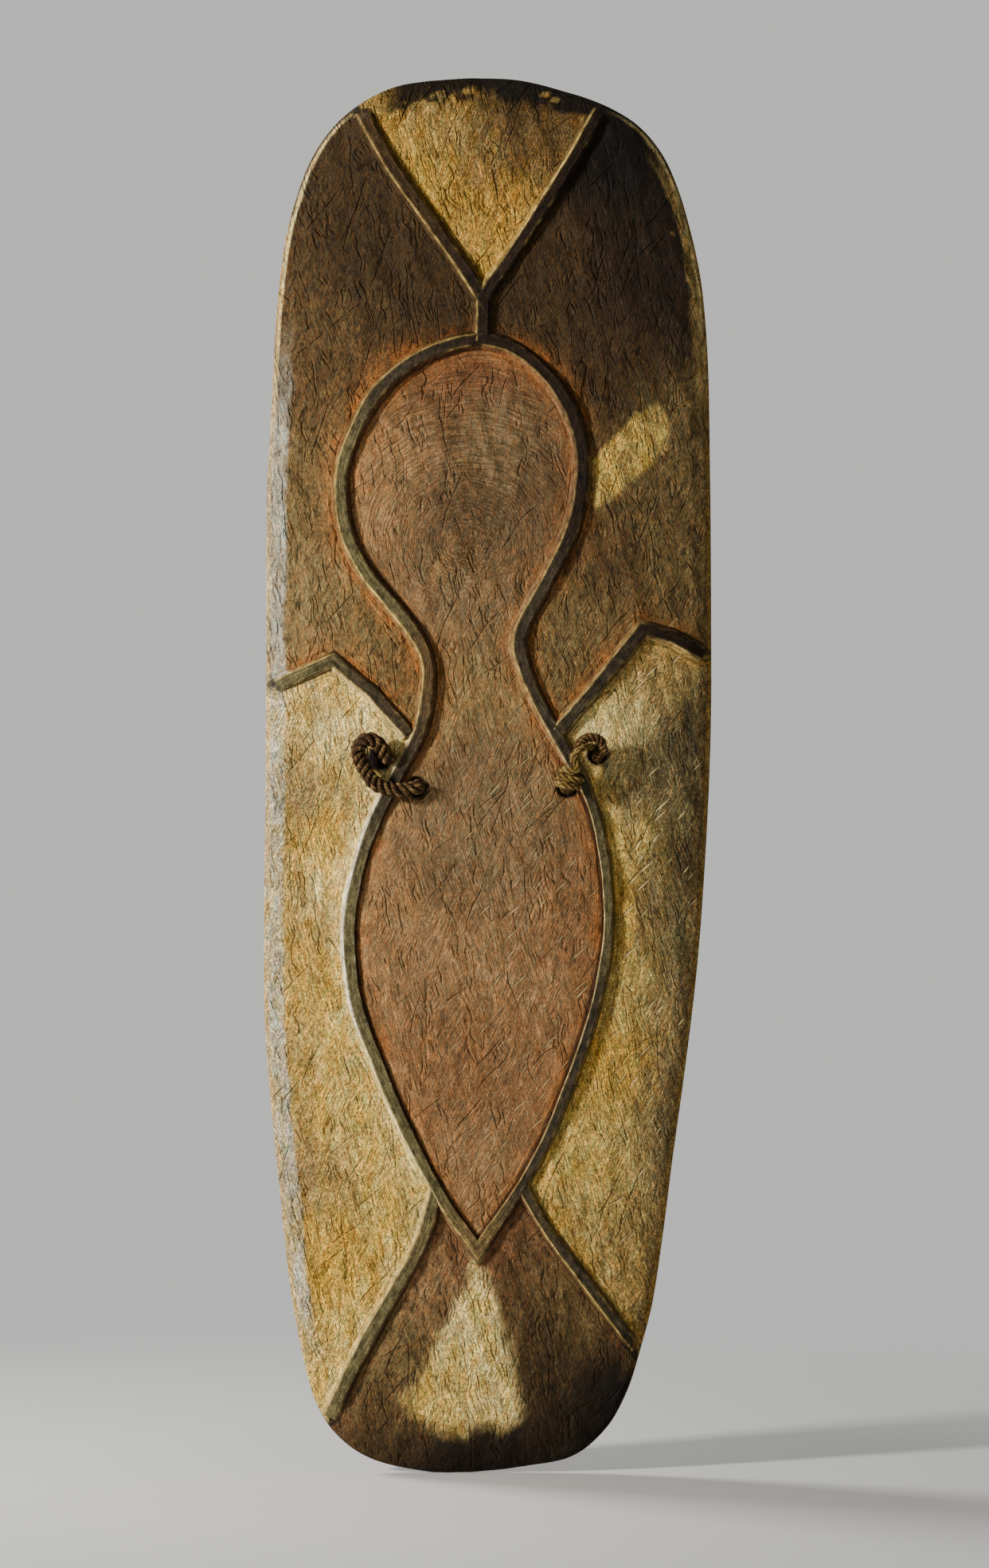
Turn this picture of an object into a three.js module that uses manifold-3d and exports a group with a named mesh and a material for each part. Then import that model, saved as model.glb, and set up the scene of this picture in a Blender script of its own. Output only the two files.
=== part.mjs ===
// A carved war shield: one long convex plank with raised ridges, pierced by four holes,
// and the single laid rope that is laced through them and knotted on the face.
// Millimetres, +Z up. The painted face looks along -Y, +X is to the right of someone who
// looks at the face, and the origin is the middle of the flat patch of the back.

import * as THREE from "three";
import { mergeVertices } from "three/addons/utils/BufferGeometryUtils.js";
import Module from "manifold-3d";

const wasm = await Module();
wasm.setup();

// Plank
const plankHeight = 1500;
const plankWidth = 481;
const plankThickness = 20;
const edgeThickness = 12;
const sideSweep = 26;
const endSweep = 22;
const flatReach = 60;
const spineReach = 515;
const bevelWidth = 20;
const bevelDepth = 5;
const rimPoints = 120;

// Ridges, carved from the same wood and left standing on the face
const ridgeCrown = 12;
const ridgeBase = 18;
const ridgeHeight = 6;
const ridgeRoot = 12;
const ridgeStep = 26;
const ridgeSetback = 3;

// Lacing holes
const upperHoleRise = 19;
const lowerHoleDrop = 13;
const upperLeftHoleOffset = 107;
const upperRightHoleOffset = 118;
const lowerLeftHoleOffset = 75;
const lowerRightHoleOffset = 86;
const mouthFlare = 4;
const mouthDepth = 4;
const cutOverrun = 30;
const holeSides = 20;

// Rope
const ropeDiameter = 16;
const ropeSides = 10;
const ropeStep = 13;
const clearance = 0.3;
const passageStandoff = 3;
const upperRunDrop = 180;
const lowerRunDrop = 110;
const runBulge = 16;
const endDiameter = 10;
const endStep = 6;
const endLead = 5;
const whippingStrand = 7.5;
const whippingPitch = 8.1;
const whippingTurns = 2.25;
const whippingSteps = 24;
const whippingSides = 6;
const whippingStep = 3;
const whippingX = 88.3;
const whippingMiddle = -5;
const whippingReach = 11.5;
const whippingTiltDegrees = 20;

// The rim seen from the front, from the middle of the top edge down the left side and up
// the right one. Shares of the half width and of the half height.
const rimShares = [
  [-0.043, 1.0], [-0.185, 0.998], [-0.399, 0.989], [-0.542, 0.969], [-0.684, 0.933],
  [-0.791, 0.883], [-0.863, 0.821], [-0.906, 0.763], [-0.941, 0.666], [-0.963, 0.541],
  [-0.984, 0.415], [-0.988, 0.198], [-0.991, -0.031], [-0.998, -0.214], [-0.995, -0.351],
  [-0.966, -0.477], [-0.927, -0.597], [-0.884, -0.728], [-0.824, -0.837], [-0.763, -0.905],
  [-0.684, -0.945], [-0.542, -0.979], [-0.292, -0.999], [-0.043, -1.0], [0.171, -0.992],
  [0.385, -0.977], [0.535, -0.936], [0.627, -0.882], [0.688, -0.819], [0.734, -0.762],
  [0.781, -0.665], [0.824, -0.557], [0.888, -0.408], [0.938, -0.271], [0.977, -0.099],
  [0.998, 0.061], [1.0, 0.243], [0.995, 0.449], [0.984, 0.609], [0.955, 0.712],
  [0.906, 0.786], [0.848, 0.847], [0.777, 0.895], [0.67, 0.934], [0.528, 0.961],
  [0.314, 0.984], [0.135, 0.997],
];

// How far out from the spine the rings of the plank lie, as shares of the way.
const ringShares = [0, 0.12, 0.24, 0.4, 0.56, 0.72, 0.87];
const taperStartShare = 0.3;

// The ridge lines of the face, in the same shares as the rim.
const figureLeftShares = [
  [-0.025, 0.624], [-0.132, 0.619], [-0.292, 0.6], [-0.428, 0.57], [-0.524, 0.533],
  [-0.595, 0.489], [-0.642, 0.449], [-0.656, 0.398], [-0.62, 0.335], [-0.545, 0.289],
  [-0.442, 0.248], [-0.335, 0.206], [-0.271, 0.166], [-0.264, 0.123], [-0.31, 0.055],
  [-0.406, -0.002], [-0.517, -0.077], [-0.592, -0.157], [-0.617, -0.225], [-0.585, -0.322],
  [-0.488, -0.414], [-0.357, -0.511], [-0.185, -0.616], [-0.043, -0.68],
];
const figureRightShares = [
  [-0.025, 0.624], [0.1, 0.613], [0.235, 0.582], [0.349, 0.535], [0.41, 0.481],
  [0.421, 0.426], [0.378, 0.355], [0.267, 0.28], [0.175, 0.223], [0.143, 0.189],
  [0.164, 0.154], [0.239, 0.098], [0.342, 0.038], [0.428, -0.014], [0.499, -0.082],
  [0.538, -0.174], [0.535, -0.242], [0.474, -0.337], [0.364, -0.442], [0.235, -0.539],
  [0.107, -0.611], [-0.043, -0.68],
];
const crestLeftShares = [
  [-0.585, 0.968], [-0.499, 0.912], [-0.414, 0.866], [-0.299, 0.813], [-0.196, 0.766],
  [-0.1, 0.723], [-0.021, 0.682],
];
const crestRightShares = [
  [0.528, 0.97], [0.403, 0.895], [0.317, 0.849], [0.171, 0.775], [0.086, 0.733],
  [0.021, 0.705], [-0.021, 0.682],
];
const neckShares = [[-0.021, 0.689], [-0.025, 0.621]];
const armLeftShares = [[-0.349, 0.058], [-0.517, 0.118], [-0.688, 0.165], [-0.955, 0.127]];
const armRightShares = [[0.314, 0.061], [0.485, 0.126], [0.692, 0.209], [0.831, 0.197], [0.97, 0.173]];
const legLeftShares = [
  [-0.228, -0.589], [-0.282, -0.657], [-0.403, -0.734], [-0.524, -0.803], [-0.638, -0.873],
  [-0.713, -0.927],
];
const legRightShares = [[0.153, -0.589], [0.271, -0.654], [0.431, -0.722], [0.602, -0.797], [0.677, -0.831]];

// A slack run behind the plank: across the span, down the drop and out by the bulge.
const runShares = [
  [-1, 0, 0], [-1, 0.06, 0.55], [-0.98, 0.16, 0.95], [-0.93, 0.34, 1], [-0.82, 0.56, 0.85],
  [-0.62, 0.78, 0.6], [-0.34, 0.94, 0.4], [0, 1, 0.3], [0.34, 0.94, 0.4], [0.62, 0.78, 0.6],
  [0.82, 0.56, 0.85], [0.93, 0.34, 1], [0.98, 0.16, 0.95], [1, 0.06, 0.55], [1, 0, 0],
];

// The slack loop on the left of the face between its two holes, as points of the rope.
const leftLoopRoute = [
  [-113, -34.5, 28], [-120, -38, 36], [-129, -39.5, 37.5], [-136.5, -39, 32],
  [-138.5, -37.5, 23], [-135, -36, 13.5], [-130, -35, 4.5], [-125, -34.8, -4],
  [-117, -34.8, -11], [-106, -35, -15], [-94, -35, -16.5], [-83, -32.5, -15.5],
];

// The thinned right end: out of its hole, once round, then down through the whipping.
const rightEndRoute = [
  [119, -30, 20.5], [122.5, -35, 25.5], [123, -37.5, 33], [116.5, -39.5, 39],
  [107, -40, 39.5], [99, -40, 34], [95.5, -40, 25], [92.5, -39.7, 18],
];

// The tail of the right end along the whipping's axis, as shares of its reach.
const tailShares = [1, 0, -0.75];

// The strand of the whipping goes on from its uppermost turn, up over the right end and
// into the ring. Points counted from the end of that turn.
const whippingLeadRoute = [
  [4.3, -0.7, 1.5], [4.3, -1.6, 7], [2, -2, 13], [3.5, -1.9, 19], [8.3, -0.6, 24],
  [13, 2, 26], [17, 7.6, 26], [19.5, 16, 26], [20.5, 23.5, 25.5],
];

const materials = {
  wood: { color: 0x6b4a35, roughness: 0.85, metalness: 0 },
  rope: { color: 0x4a3626, roughness: 0.95, metalness: 0 },
  strand: { color: 0x9a8450, roughness: 0.95, metalness: 0 },
};

// Turns a closed geometry into a solid that can be joined and cut.
function toSolid(geometry) {
  const bare = geometry.clone();
  bare.deleteAttribute("normal");
  bare.deleteAttribute("uv");
  const merged = mergeVertices(bare);
  const mesh = new wasm.Mesh({
    numProp: 3,
    vertProperties: new Float32Array(merged.attributes.position.array),
    triVerts: new Uint32Array(merged.index.array),
  });
  return new wasm.Manifold(mesh);
}

function toGeometry(solid) {
  const mesh = solid.getMesh();
  const geometry = new THREE.BufferGeometry();
  geometry.setAttribute("position", new THREE.BufferAttribute(mesh.vertProperties, 3));
  geometry.setIndex(new THREE.BufferAttribute(mesh.triVerts, 1));
  geometry.computeVertexNormals();
  return geometry;
}

// Builds a geometry from triangles given as corner points, leaving out collapsed ones.
function fromTriangles(triangles) {
  const positions = [];
  for (const corners of triangles) {
    const area = new THREE.Triangle(...corners).getArea();
    if (area > 0) corners.forEach((corner) => positions.push(corner.x, corner.y, corner.z));
  }
  const geometry = new THREE.BufferGeometry();
  geometry.setAttribute("position", new THREE.Float32BufferAttribute(positions, 3));
  return geometry;
}

// Skins a row of loops that all have the same number of points.
function skin(loops) {
  const triangles = [];
  for (let row = 0; row + 1 < loops.length; row += 1) {
    const inner = loops[row];
    const outer = loops[row + 1];
    for (let i = 0; i < inner.length; i += 1) {
      const next = (i + 1) % inner.length;
      triangles.push([inner[i], outer[i], outer[next]]);
      triangles.push([inner[i], outer[next], inner[next]]);
    }
  }
  return triangles;
}

// How far the face falls back from its flat middle at a place on the plank.
function fallBack(x, z) {
  const side = Math.max(0, Math.abs(x) - flatReach) / (plankWidth / 2 - flatReach);
  const end = Math.max(0, Math.abs(z) - flatReach) / (plankHeight / 2 - flatReach);
  return sideSweep * side ** 2 + endSweep * end ** 2;
}

function faceDepth(x, z) {
  return fallBack(x, z) - plankThickness;
}

function placeOnPlank([acrossShare, upShare]) {
  return new THREE.Vector3((acrossShare * plankWidth) / 2, 0, (upShare * plankHeight) / 2);
}

// The rim as evenly spaced points, and for each the point of the spine it is drawn from.
function rimAndSpine() {
  const curve = new THREE.CatmullRomCurve3(rimShares.map(placeOnPlank), true, "centripetal");
  const rim = curve.getSpacedPoints(rimPoints).slice(0, rimPoints);
  const spine = rim.map((point, i) => {
    const opposite = rim[(rimPoints - i) % rimPoints];
    const level = (point.z + opposite.z) / 2;
    return new THREE.Vector3(0, 0, THREE.MathUtils.clamp(level, -spineReach, spineReach));
  });
  return { rim, spine };
}

// A loop of the plank at a share of the way from the spine, short of the rim by an inset.
function plankLoop({ rim, spine }, share, inset, depthAt) {
  return rim.map((edge, i) => {
    const reach = edge.distanceTo(spine[i]);
    const outShare = (share * (reach - inset)) / reach;
    const point = new THREE.Vector3().lerpVectors(spine[i], edge, outShare);
    point.y = depthAt(point, outShare);
    return point;
  });
}

function backDepth(point, outShare) {
  const taper = Math.max(0, outShare - taperStartShare) / (1 - taperStartShare);
  const thickness = plankThickness - (plankThickness - edgeThickness) * taper ** 2;
  return faceDepth(point.x, point.z) + thickness;
}

// The plank without ridges or holes: face, bevel, rim and back as one closed skin.
function barePlank(lines) {
  const onFace = (point) => faceDepth(point.x, point.z);
  const loops = ringShares.map((share) => plankLoop(lines, share, bevelWidth, onFace));
  loops.push(plankLoop(lines, 1, bevelWidth, onFace));
  loops.push(plankLoop(lines, 1, 0, (point) => onFace(point) + bevelDepth));
  loops.push(plankLoop(lines, 1, 0, backDepth));
  for (const share of [...ringShares].reverse()) {
    loops.push(plankLoop(lines, share, 0, backDepth));
  }
  return toSolid(fromTriangles(skin(loops)));
}

// Sideways directions along a line on the face, lengthened at corners to keep the width.
function mitres(line) {
  const sides = line.slice(1).map((point, i) => {
    const along = point.clone().sub(line[i]).normalize();
    return new THREE.Vector3(along.z, 0, -along.x);
  });
  return line.map((_, i) => {
    const before = sides[Math.max(0, i - 1)];
    const after = sides[Math.min(sides.length - 1, i)];
    const middle = before.clone().add(after).normalize();
    return middle.divideScalar(middle.dot(before));
  });
}

// A raised ridge with sloping sides and a flat crown that follows the face.
function ridge(line) {
  const section = [
    [-ridgeBase / 2, -ridgeRoot], [-ridgeBase / 2, 0], [-ridgeCrown / 2, ridgeHeight],
    [ridgeCrown / 2, ridgeHeight], [ridgeBase / 2, 0], [ridgeBase / 2, -ridgeRoot],
  ];
  const sides = mitres(line);
  const loops = line.map((point, i) => section.map(([offset, lift]) => {
    const corner = point.clone().addScaledVector(sides[i], offset);
    corner.y = faceDepth(corner.x, corner.z) - lift;
    return corner;
  }));
  const triangles = skin([...loops].reverse());
  const first = loops[0];
  const last = loops[loops.length - 1];
  for (let i = 1; i + 1 < section.length; i += 1) {
    triangles.push([first[0], first[i + 1], first[i]]);
    triangles.push([last[0], last[i], last[i + 1]]);
  }
  return toSolid(fromTriangles(triangles));
}

function smoothLine(shares) {
  const curve = new THREE.CatmullRomCurve3(shares.map(placeOnPlank), false, "centripetal");
  return curve.getSpacedPoints(Math.ceil(curve.getLength() / ridgeStep));
}

// A block a little smaller than the plank's outline that trims the ridges at the rim.
function ridgeTrimmer(lines) {
  const low = plankLoop(lines, 1, ridgeSetback, () => cutOverrun);
  const high = low.map((point) => point.clone().setY(-plankThickness - cutOverrun));
  const outline = new THREE.Shape(low.map((point) => new THREE.Vector2(point.x, point.z)));
  const depth = low[0].y - high[0].y;
  const block = new THREE.ExtrudeGeometry(outline, { depth, bevelEnabled: false });
  block.rotateX(Math.PI / 2);
  block.translate(0, low[0].y, 0);
  return toSolid(block);
}

// The four lacing holes: where each one is, seen from the front.
const holes = {
  upperLeft: { x: -upperLeftHoleOffset, z: upperHoleRise },
  upperRight: { x: upperRightHoleOffset, z: upperHoleRise },
  lowerLeft: { x: -lowerLeftHoleOffset, z: -lowerHoleDrop },
  lowerRight: { x: lowerRightHoleOffset, z: -lowerHoleDrop },
};

// The drill for one hole, a close fit on the rope, with a flared mouth on each side.
function holeDrill({ x, z }) {
  const bore = ropeDiameter / 2 + clearance;
  const mouth = bore + mouthFlare;
  const front = -plankThickness;
  const profile = [
    [0, front - cutOverrun], [mouth, front - cutOverrun], [mouth, front], [bore, front + mouthDepth],
    [bore, -mouthDepth], [mouth, 0], [mouth, cutOverrun], [0, cutOverrun],
  ].map(([radius, y]) => new THREE.Vector2(radius, y));
  const drill = new THREE.LatheGeometry(profile, holeSides);
  drill.translate(x, 0, z);
  return toSolid(drill);
}

function shieldPlank() {
  const lines = rimAndSpine();
  const curved = [
    figureLeftShares, figureRightShares, crestLeftShares, crestRightShares, legLeftShares,
    legRightShares,
  ].map(smoothLine);
  const straight = [neckShares, armLeftShares, armRightShares].map((shares) => shares.map(placeOnPlank));
  const trimmer = ridgeTrimmer(lines);
  let plank = barePlank(lines);
  for (const line of [...curved, ...straight]) {
    plank = plank.add(ridge(line).intersect(trimmer));
  }
  for (const hole of Object.values(holes)) {
    plank = plank.subtract(holeDrill(hole));
  }
  return toGeometry(plank);
}

function polygon(diameter, sides) {
  const corners = [];
  for (let i = 0; i < sides; i += 1) {
    const angle = (2 * Math.PI * i) / sides;
    corners.push(new THREE.Vector2(Math.cos(angle), Math.sin(angle)).multiplyScalar(diameter / 2));
  }
  return new THREE.Shape(corners);
}

// A rope of one thickness along a line of points.
function ropeAlong(points, diameter, step) {
  const extrudePath = new THREE.CatmullRomCurve3(points, false, "centripetal");
  const steps = Math.ceil(extrudePath.getLength() / step);
  return new THREE.ExtrudeGeometry(polygon(diameter, ropeSides), { steps, extrudePath });
}

// A run of rope whose two ends are balls, so that it can turn at the mouths of its holes.
function swingingRope(points) {
  const balls = [points[0], points[points.length - 1]].map((end) => {
    const ball = new THREE.SphereGeometry(ropeDiameter / 2, ropeSides, ropeSides / 2);
    ball.translate(end.x, end.y, end.z);
    return toSolid(ball);
  });
  const rope = toSolid(ropeAlong(points, ropeDiameter, ropeStep));
  return toGeometry(rope.add(balls[0]).add(balls[1]));
}

// The rope inside one hole, from its face end to where it stands out of the back.
function passage({ x, z }, frontReach) {
  const length = frontReach + passageStandoff;
  const rope = new THREE.CylinderGeometry(ropeDiameter / 2, ropeDiameter / 2, length, ropeSides);
  rope.translate(x, passageStandoff - length / 2, z);
  return rope;
}

// Centres of the ball ends, just outside the mouths of a hole.
const backMouthDepth = passageStandoff + clearance + ropeDiameter / 2;
const frontMouthDepth = -plankThickness - clearance - ropeDiameter / 2;

function mouth({ x, z }, depth) {
  return new THREE.Vector3(x, depth, z);
}

// One of the two slack runs behind the plank that the bearer's hand and shoulder take.
function backRun(leftHole, rightHole, drop) {
  const middle = (leftHole.x + rightHole.x) / 2;
  const halfSpan = (rightHole.x - leftHole.x) / 2;
  const points = runShares.map(([across, down, out]) => new THREE.Vector3(
    middle + across * halfSpan,
    backMouthDepth + out * runBulge,
    leftHole.z - down * drop,
  ));
  return swingingRope(points);
}

function frontLeftLoop() {
  const route = leftLoopRoute.map((point) => new THREE.Vector3(...point));
  const start = mouth(holes.upperLeft, frontMouthDepth);
  const end = mouth(holes.lowerLeft, frontMouthDepth);
  return swingingRope([start, ...route, end]);
}

// The whipping lies on the ridge, round the straight tail of the right end.
const whippingRadius = endDiameter / 2 + clearance + whippingStrand / 2;
const whippingDepth = -plankThickness - ridgeHeight - clearance - whippingRadius - whippingStrand / 2;
const whippingHeight = whippingTurns * whippingPitch;

// A point counted from the middle of the whipping and along its tilted axis.
function placeInWhipping(point) {
  const tilt = THREE.MathUtils.degToRad(whippingTiltDegrees);
  point.applyAxisAngle(new THREE.Vector3(0, 1, 0), tilt);
  return point.add(new THREE.Vector3(whippingX, whippingDepth, whippingMiddle));
}

function frontRightEnd() {
  const start = mouth(holes.upperRight, -plankThickness - clearance);
  const lead = mouth(holes.upperRight, start.y - endLead);
  const route = rightEndRoute.map((point) => new THREE.Vector3(...point));
  const tailReach = whippingHeight / 2 + whippingStrand;
  const tail = tailShares.map((share) => placeInWhipping(new THREE.Vector3(0, 0, share * tailReach)));
  return ropeAlong([start, lead, ...route, ...tail], endDiameter, endStep);
}

// The turns are wider than deep, tilted down to the right, and end at the front.
function whippingPoints() {
  const points = [];
  const steps = Math.ceil(whippingTurns * whippingSteps);
  for (let i = 0; i <= steps; i += 1) {
    const turn = (i / steps) * whippingTurns;
    const angle = 2 * Math.PI * (turn - whippingTurns) - Math.PI / 2;
    const point = new THREE.Vector3(
      whippingReach * Math.cos(angle),
      whippingRadius * Math.sin(angle),
      turn * whippingPitch - whippingHeight / 2,
    );
    points.push(placeInWhipping(point));
  }
  return points;
}

function whippingLead(start) {
  return whippingLeadRoute.map((step) => new THREE.Vector3(...step).add(start));
}

// The least gap between one turn of the whipping and the next.
function leastWhippingGap(points) {
  let least = Infinity;
  for (let i = 0; i < points.length; i += 1) {
    for (let j = i + whippingSteps / 2; j < points.length; j += 1) {
      least = Math.min(least, points[i].distanceTo(points[j]) - whippingStrand);
    }
  }
  return least;
}

function endWhipping() {
  const turns = whippingPoints();
  console.log(`least gap between the turns of the whipping: ${leastWhippingGap(turns).toFixed(2)} mm`);
  const points = [...turns, ...whippingLead(turns[turns.length - 1])];
  const extrudePath = new THREE.CatmullRomCurve3(points, false, "centripetal");
  const steps = Math.ceil(extrudePath.getLength() / whippingStep);
  return new THREE.ExtrudeGeometry(polygon(whippingStrand, whippingSides), { steps, extrudePath });
}

function addPart(group, name, geometry, look) {
  const mesh = new THREE.Mesh(geometry, new THREE.MeshStandardMaterial(look));
  mesh.name = name;
  group.add(mesh);
}

const shield = new THREE.Group();
addPart(shield, "shield_plank", shieldPlank(), materials.wood);
addPart(shield, "rope_front_left_loop", frontLeftLoop(), materials.rope);
addPart(shield, "rope_front_right_end", frontRightEnd(), materials.rope);
addPart(shield, "rope_end_whipping", endWhipping(), materials.strand);
addPart(shield, "rope_upper_left_passage", passage(holes.upperLeft, plankThickness), materials.rope);
addPart(shield, "rope_lower_left_passage", passage(holes.lowerLeft, plankThickness), materials.rope);
addPart(shield, "rope_upper_right_passage", passage(holes.upperRight, plankThickness), materials.rope);
addPart(
  shield,
  "rope_lower_right_passage",
  passage(holes.lowerRight, plankThickness + ridgeHeight),
  materials.rope,
);
addPart(
  shield,
  "rope_upper_back_run",
  backRun(holes.upperLeft, holes.upperRight, upperRunDrop),
  materials.rope,
);
addPart(
  shield,
  "rope_lower_back_run",
  backRun(holes.lowerLeft, holes.lowerRight, lowerRunDrop),
  materials.rope,
);

export default shield;
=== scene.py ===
# %% [markdown]
# # A carved war shield
# The shield is one long plank, cut with an adze from a single piece of wood. Its face is
# slightly convex, ridges stand on it where the wood between them was cut away, and earth
# pigments were rubbed into the fields. A thick laid rope is laced through four holes.
# The construction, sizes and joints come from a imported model, which is loaded first. This
# notebook gives that model its surfaces: finer meshes over the same shapes, and materials.

import math

import bmesh
import bpy
import numpy as np

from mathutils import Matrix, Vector


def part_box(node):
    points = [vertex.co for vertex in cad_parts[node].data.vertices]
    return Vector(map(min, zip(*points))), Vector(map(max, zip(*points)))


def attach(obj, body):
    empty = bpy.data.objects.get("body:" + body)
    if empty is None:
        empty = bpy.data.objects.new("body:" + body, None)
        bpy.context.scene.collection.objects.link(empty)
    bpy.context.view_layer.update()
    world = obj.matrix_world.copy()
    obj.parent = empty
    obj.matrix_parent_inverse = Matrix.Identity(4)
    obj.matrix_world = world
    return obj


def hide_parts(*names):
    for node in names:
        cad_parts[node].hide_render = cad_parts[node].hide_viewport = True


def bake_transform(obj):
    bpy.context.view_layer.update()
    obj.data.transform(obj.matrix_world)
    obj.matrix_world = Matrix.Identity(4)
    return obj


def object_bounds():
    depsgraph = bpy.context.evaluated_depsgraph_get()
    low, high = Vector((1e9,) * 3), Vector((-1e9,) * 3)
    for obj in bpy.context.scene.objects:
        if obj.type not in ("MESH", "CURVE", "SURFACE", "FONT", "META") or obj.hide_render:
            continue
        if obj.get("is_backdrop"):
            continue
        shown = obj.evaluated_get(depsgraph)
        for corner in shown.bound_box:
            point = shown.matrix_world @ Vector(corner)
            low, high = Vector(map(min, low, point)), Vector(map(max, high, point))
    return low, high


MM = 0.001

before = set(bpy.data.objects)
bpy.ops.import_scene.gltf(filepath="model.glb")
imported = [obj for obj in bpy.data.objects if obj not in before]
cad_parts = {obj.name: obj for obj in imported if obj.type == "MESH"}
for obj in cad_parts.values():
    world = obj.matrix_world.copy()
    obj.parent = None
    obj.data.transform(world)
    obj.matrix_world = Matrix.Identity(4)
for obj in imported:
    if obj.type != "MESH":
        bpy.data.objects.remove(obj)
cad_low, cad_high = (list(corner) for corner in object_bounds())
plank_low, plank_high = (np.array(corner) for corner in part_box("shield_plank"))
print("plank from", plank_low.round(3), "to", plank_high.round(3))

# %% [markdown]
# ## Camera
# The photograph looks straight at the face with a long lens. The plank's top and bottom
# edges are known in pixels, so a pixel is worth a fixed number of metres at the plank, and
# the camera stands where the middle of the frame falls on the plank's plane.

# %% Camera
PHOTO_WIDTH = 1242
PHOTO_HEIGHT = 1969
PHOTO_TOP = 98
PHOTO_BOTTOM = 1848
PHOTO_MIDDLE = 612
PLANK_HEIGHT = 1500 * MM
PLANK_WIDTH = 481 * MM
METRES_PER_PIXEL = PLANK_HEIGHT / (PHOTO_BOTTOM - PHOTO_TOP)
CAMERA_DISTANCE = 6.0
SENSOR_MM = 36.0


def from_photo(pixel_x, pixel_y):
    """The place on the shield, x and z in metres, that a pixel of the photograph shows."""
    middle_y = (PHOTO_TOP + PHOTO_BOTTOM) / 2
    return (pixel_x - PHOTO_MIDDLE) * METRES_PER_PIXEL, (middle_y - pixel_y) * METRES_PER_PIXEL


def add_camera():
    """A long lens whose frame holds the photograph's height at the plank's plane."""
    data = bpy.data.cameras.new("camera")
    camera = bpy.data.objects.new("camera", data)
    bpy.context.scene.collection.objects.link(camera)
    x, z = from_photo(PHOTO_WIDTH / 2, PHOTO_HEIGHT / 2)
    camera.location = (x, -CAMERA_DISTANCE, z)
    camera.rotation_euler = (math.pi / 2, 0, 0)
    data.sensor_width = SENSOR_MM
    data.lens = SENSOR_MM * CAMERA_DISTANCE / (PHOTO_HEIGHT * METRES_PER_PIXEL)
    bpy.context.scene.camera = camera
    print("lens of", round(data.lens, 1), "mm at", CAMERA_DISTANCE, "m")


add_camera()

# %% [markdown]
# ## Smooth lines through given points
# The rim, the ridges and the rope all follow smooth curves through a few points. The curve
# passes through every point, and because its knots are spaced by the root of the distance,
# it never loops where points lie close together. It is then walked in even steps, so that
# the meshes built on it have faces of one size.


# %% Smooth lines
CURVE_STEPS = 40


def smooth_line(points, closed=False):
    """Curve through the points: each stretch is a cubic between two points whose end
    directions come from the neighbours, with knots spaced by the root of the distance."""
    p = np.asarray(points, float)
    if closed:
        p = np.vstack([p[-1:], p, p[:2]])
    else:
        p = np.vstack([2 * p[0] - p[1], p, 2 * p[-1] - p[-2]])
    before, start, end, after = p[:-3], p[1:-2], p[2:-1], p[3:]

    def knot(a, b):
        return np.linalg.norm(b - a, axis=1)[:, None] ** 0.5

    k0, k1, k2 = knot(before, start), knot(start, end), knot(end, after)
    leave = ((start - before) / k0 - (end - before) / (k0 + k1) + (end - start) / k1) * k1
    arrive = ((end - start) / k1 - (after - start) / (k1 + k2) + (after - end) / k2) * k1
    t = np.linspace(0, 1, CURVE_STEPS, endpoint=False)[None, :, None]
    a, b, m, n = (v[:, None, :] for v in (start, end, leave, arrive))
    line = (
        a * (2 * t**3 - 3 * t**2 + 1)
        + b * (3 * t**2 - 2 * t**3)
        + m * (t**3 - 2 * t**2 + t)
        + n * (t**3 - t**2)
    ).reshape(-1, p.shape[1])
    return np.vstack([line, p[1:2] if closed else p[-2:-1]])


def line_length(line):
    """The sum of the distances between neighbours."""
    return float(np.linalg.norm(np.diff(line, axis=0), axis=1).sum())


def even_steps(line, count):
    """The same line as count points, equally far apart along it."""
    walked = np.concatenate([[0], np.cumsum(np.linalg.norm(np.diff(line, axis=0), axis=1))])
    places = np.linspace(0, walked[-1], count)
    return np.stack([np.interp(places, walked, line[:, k]) for k in range(line.shape[1])], axis=1)


# %% [markdown]
# ## Routes of the rope
# One rope of three strands is laced through four holes. On the left of the face it makes a
# slack loop from the upper hole to the lower one. On the right its two ends come out and
# are bound together. Behind the plank two slack runs cross from left to right, and carry
# the shield on the bearer's arm and shoulder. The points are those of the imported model.

# %% Routes of the rope
ROPE = 16 * MM
END_ROPE = 10 * MM
MOUTH_GAP = 0.3 * MM
PLANK_THICKNESS = 20 * MM
PASSAGE_STANDOFF = 3 * MM
FRONT_MOUTH = -PLANK_THICKNESS - MOUTH_GAP - ROPE / 2
BACK_MOUTH = PASSAGE_STANDOFF + MOUTH_GAP + ROPE / 2

HOLES = {
    "upper_left": (-107 * MM, 19 * MM),
    "upper_right": (118 * MM, 19 * MM),
    "lower_left": (-75 * MM, -13 * MM),
    "lower_right": (86 * MM, -13 * MM),
}

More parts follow.
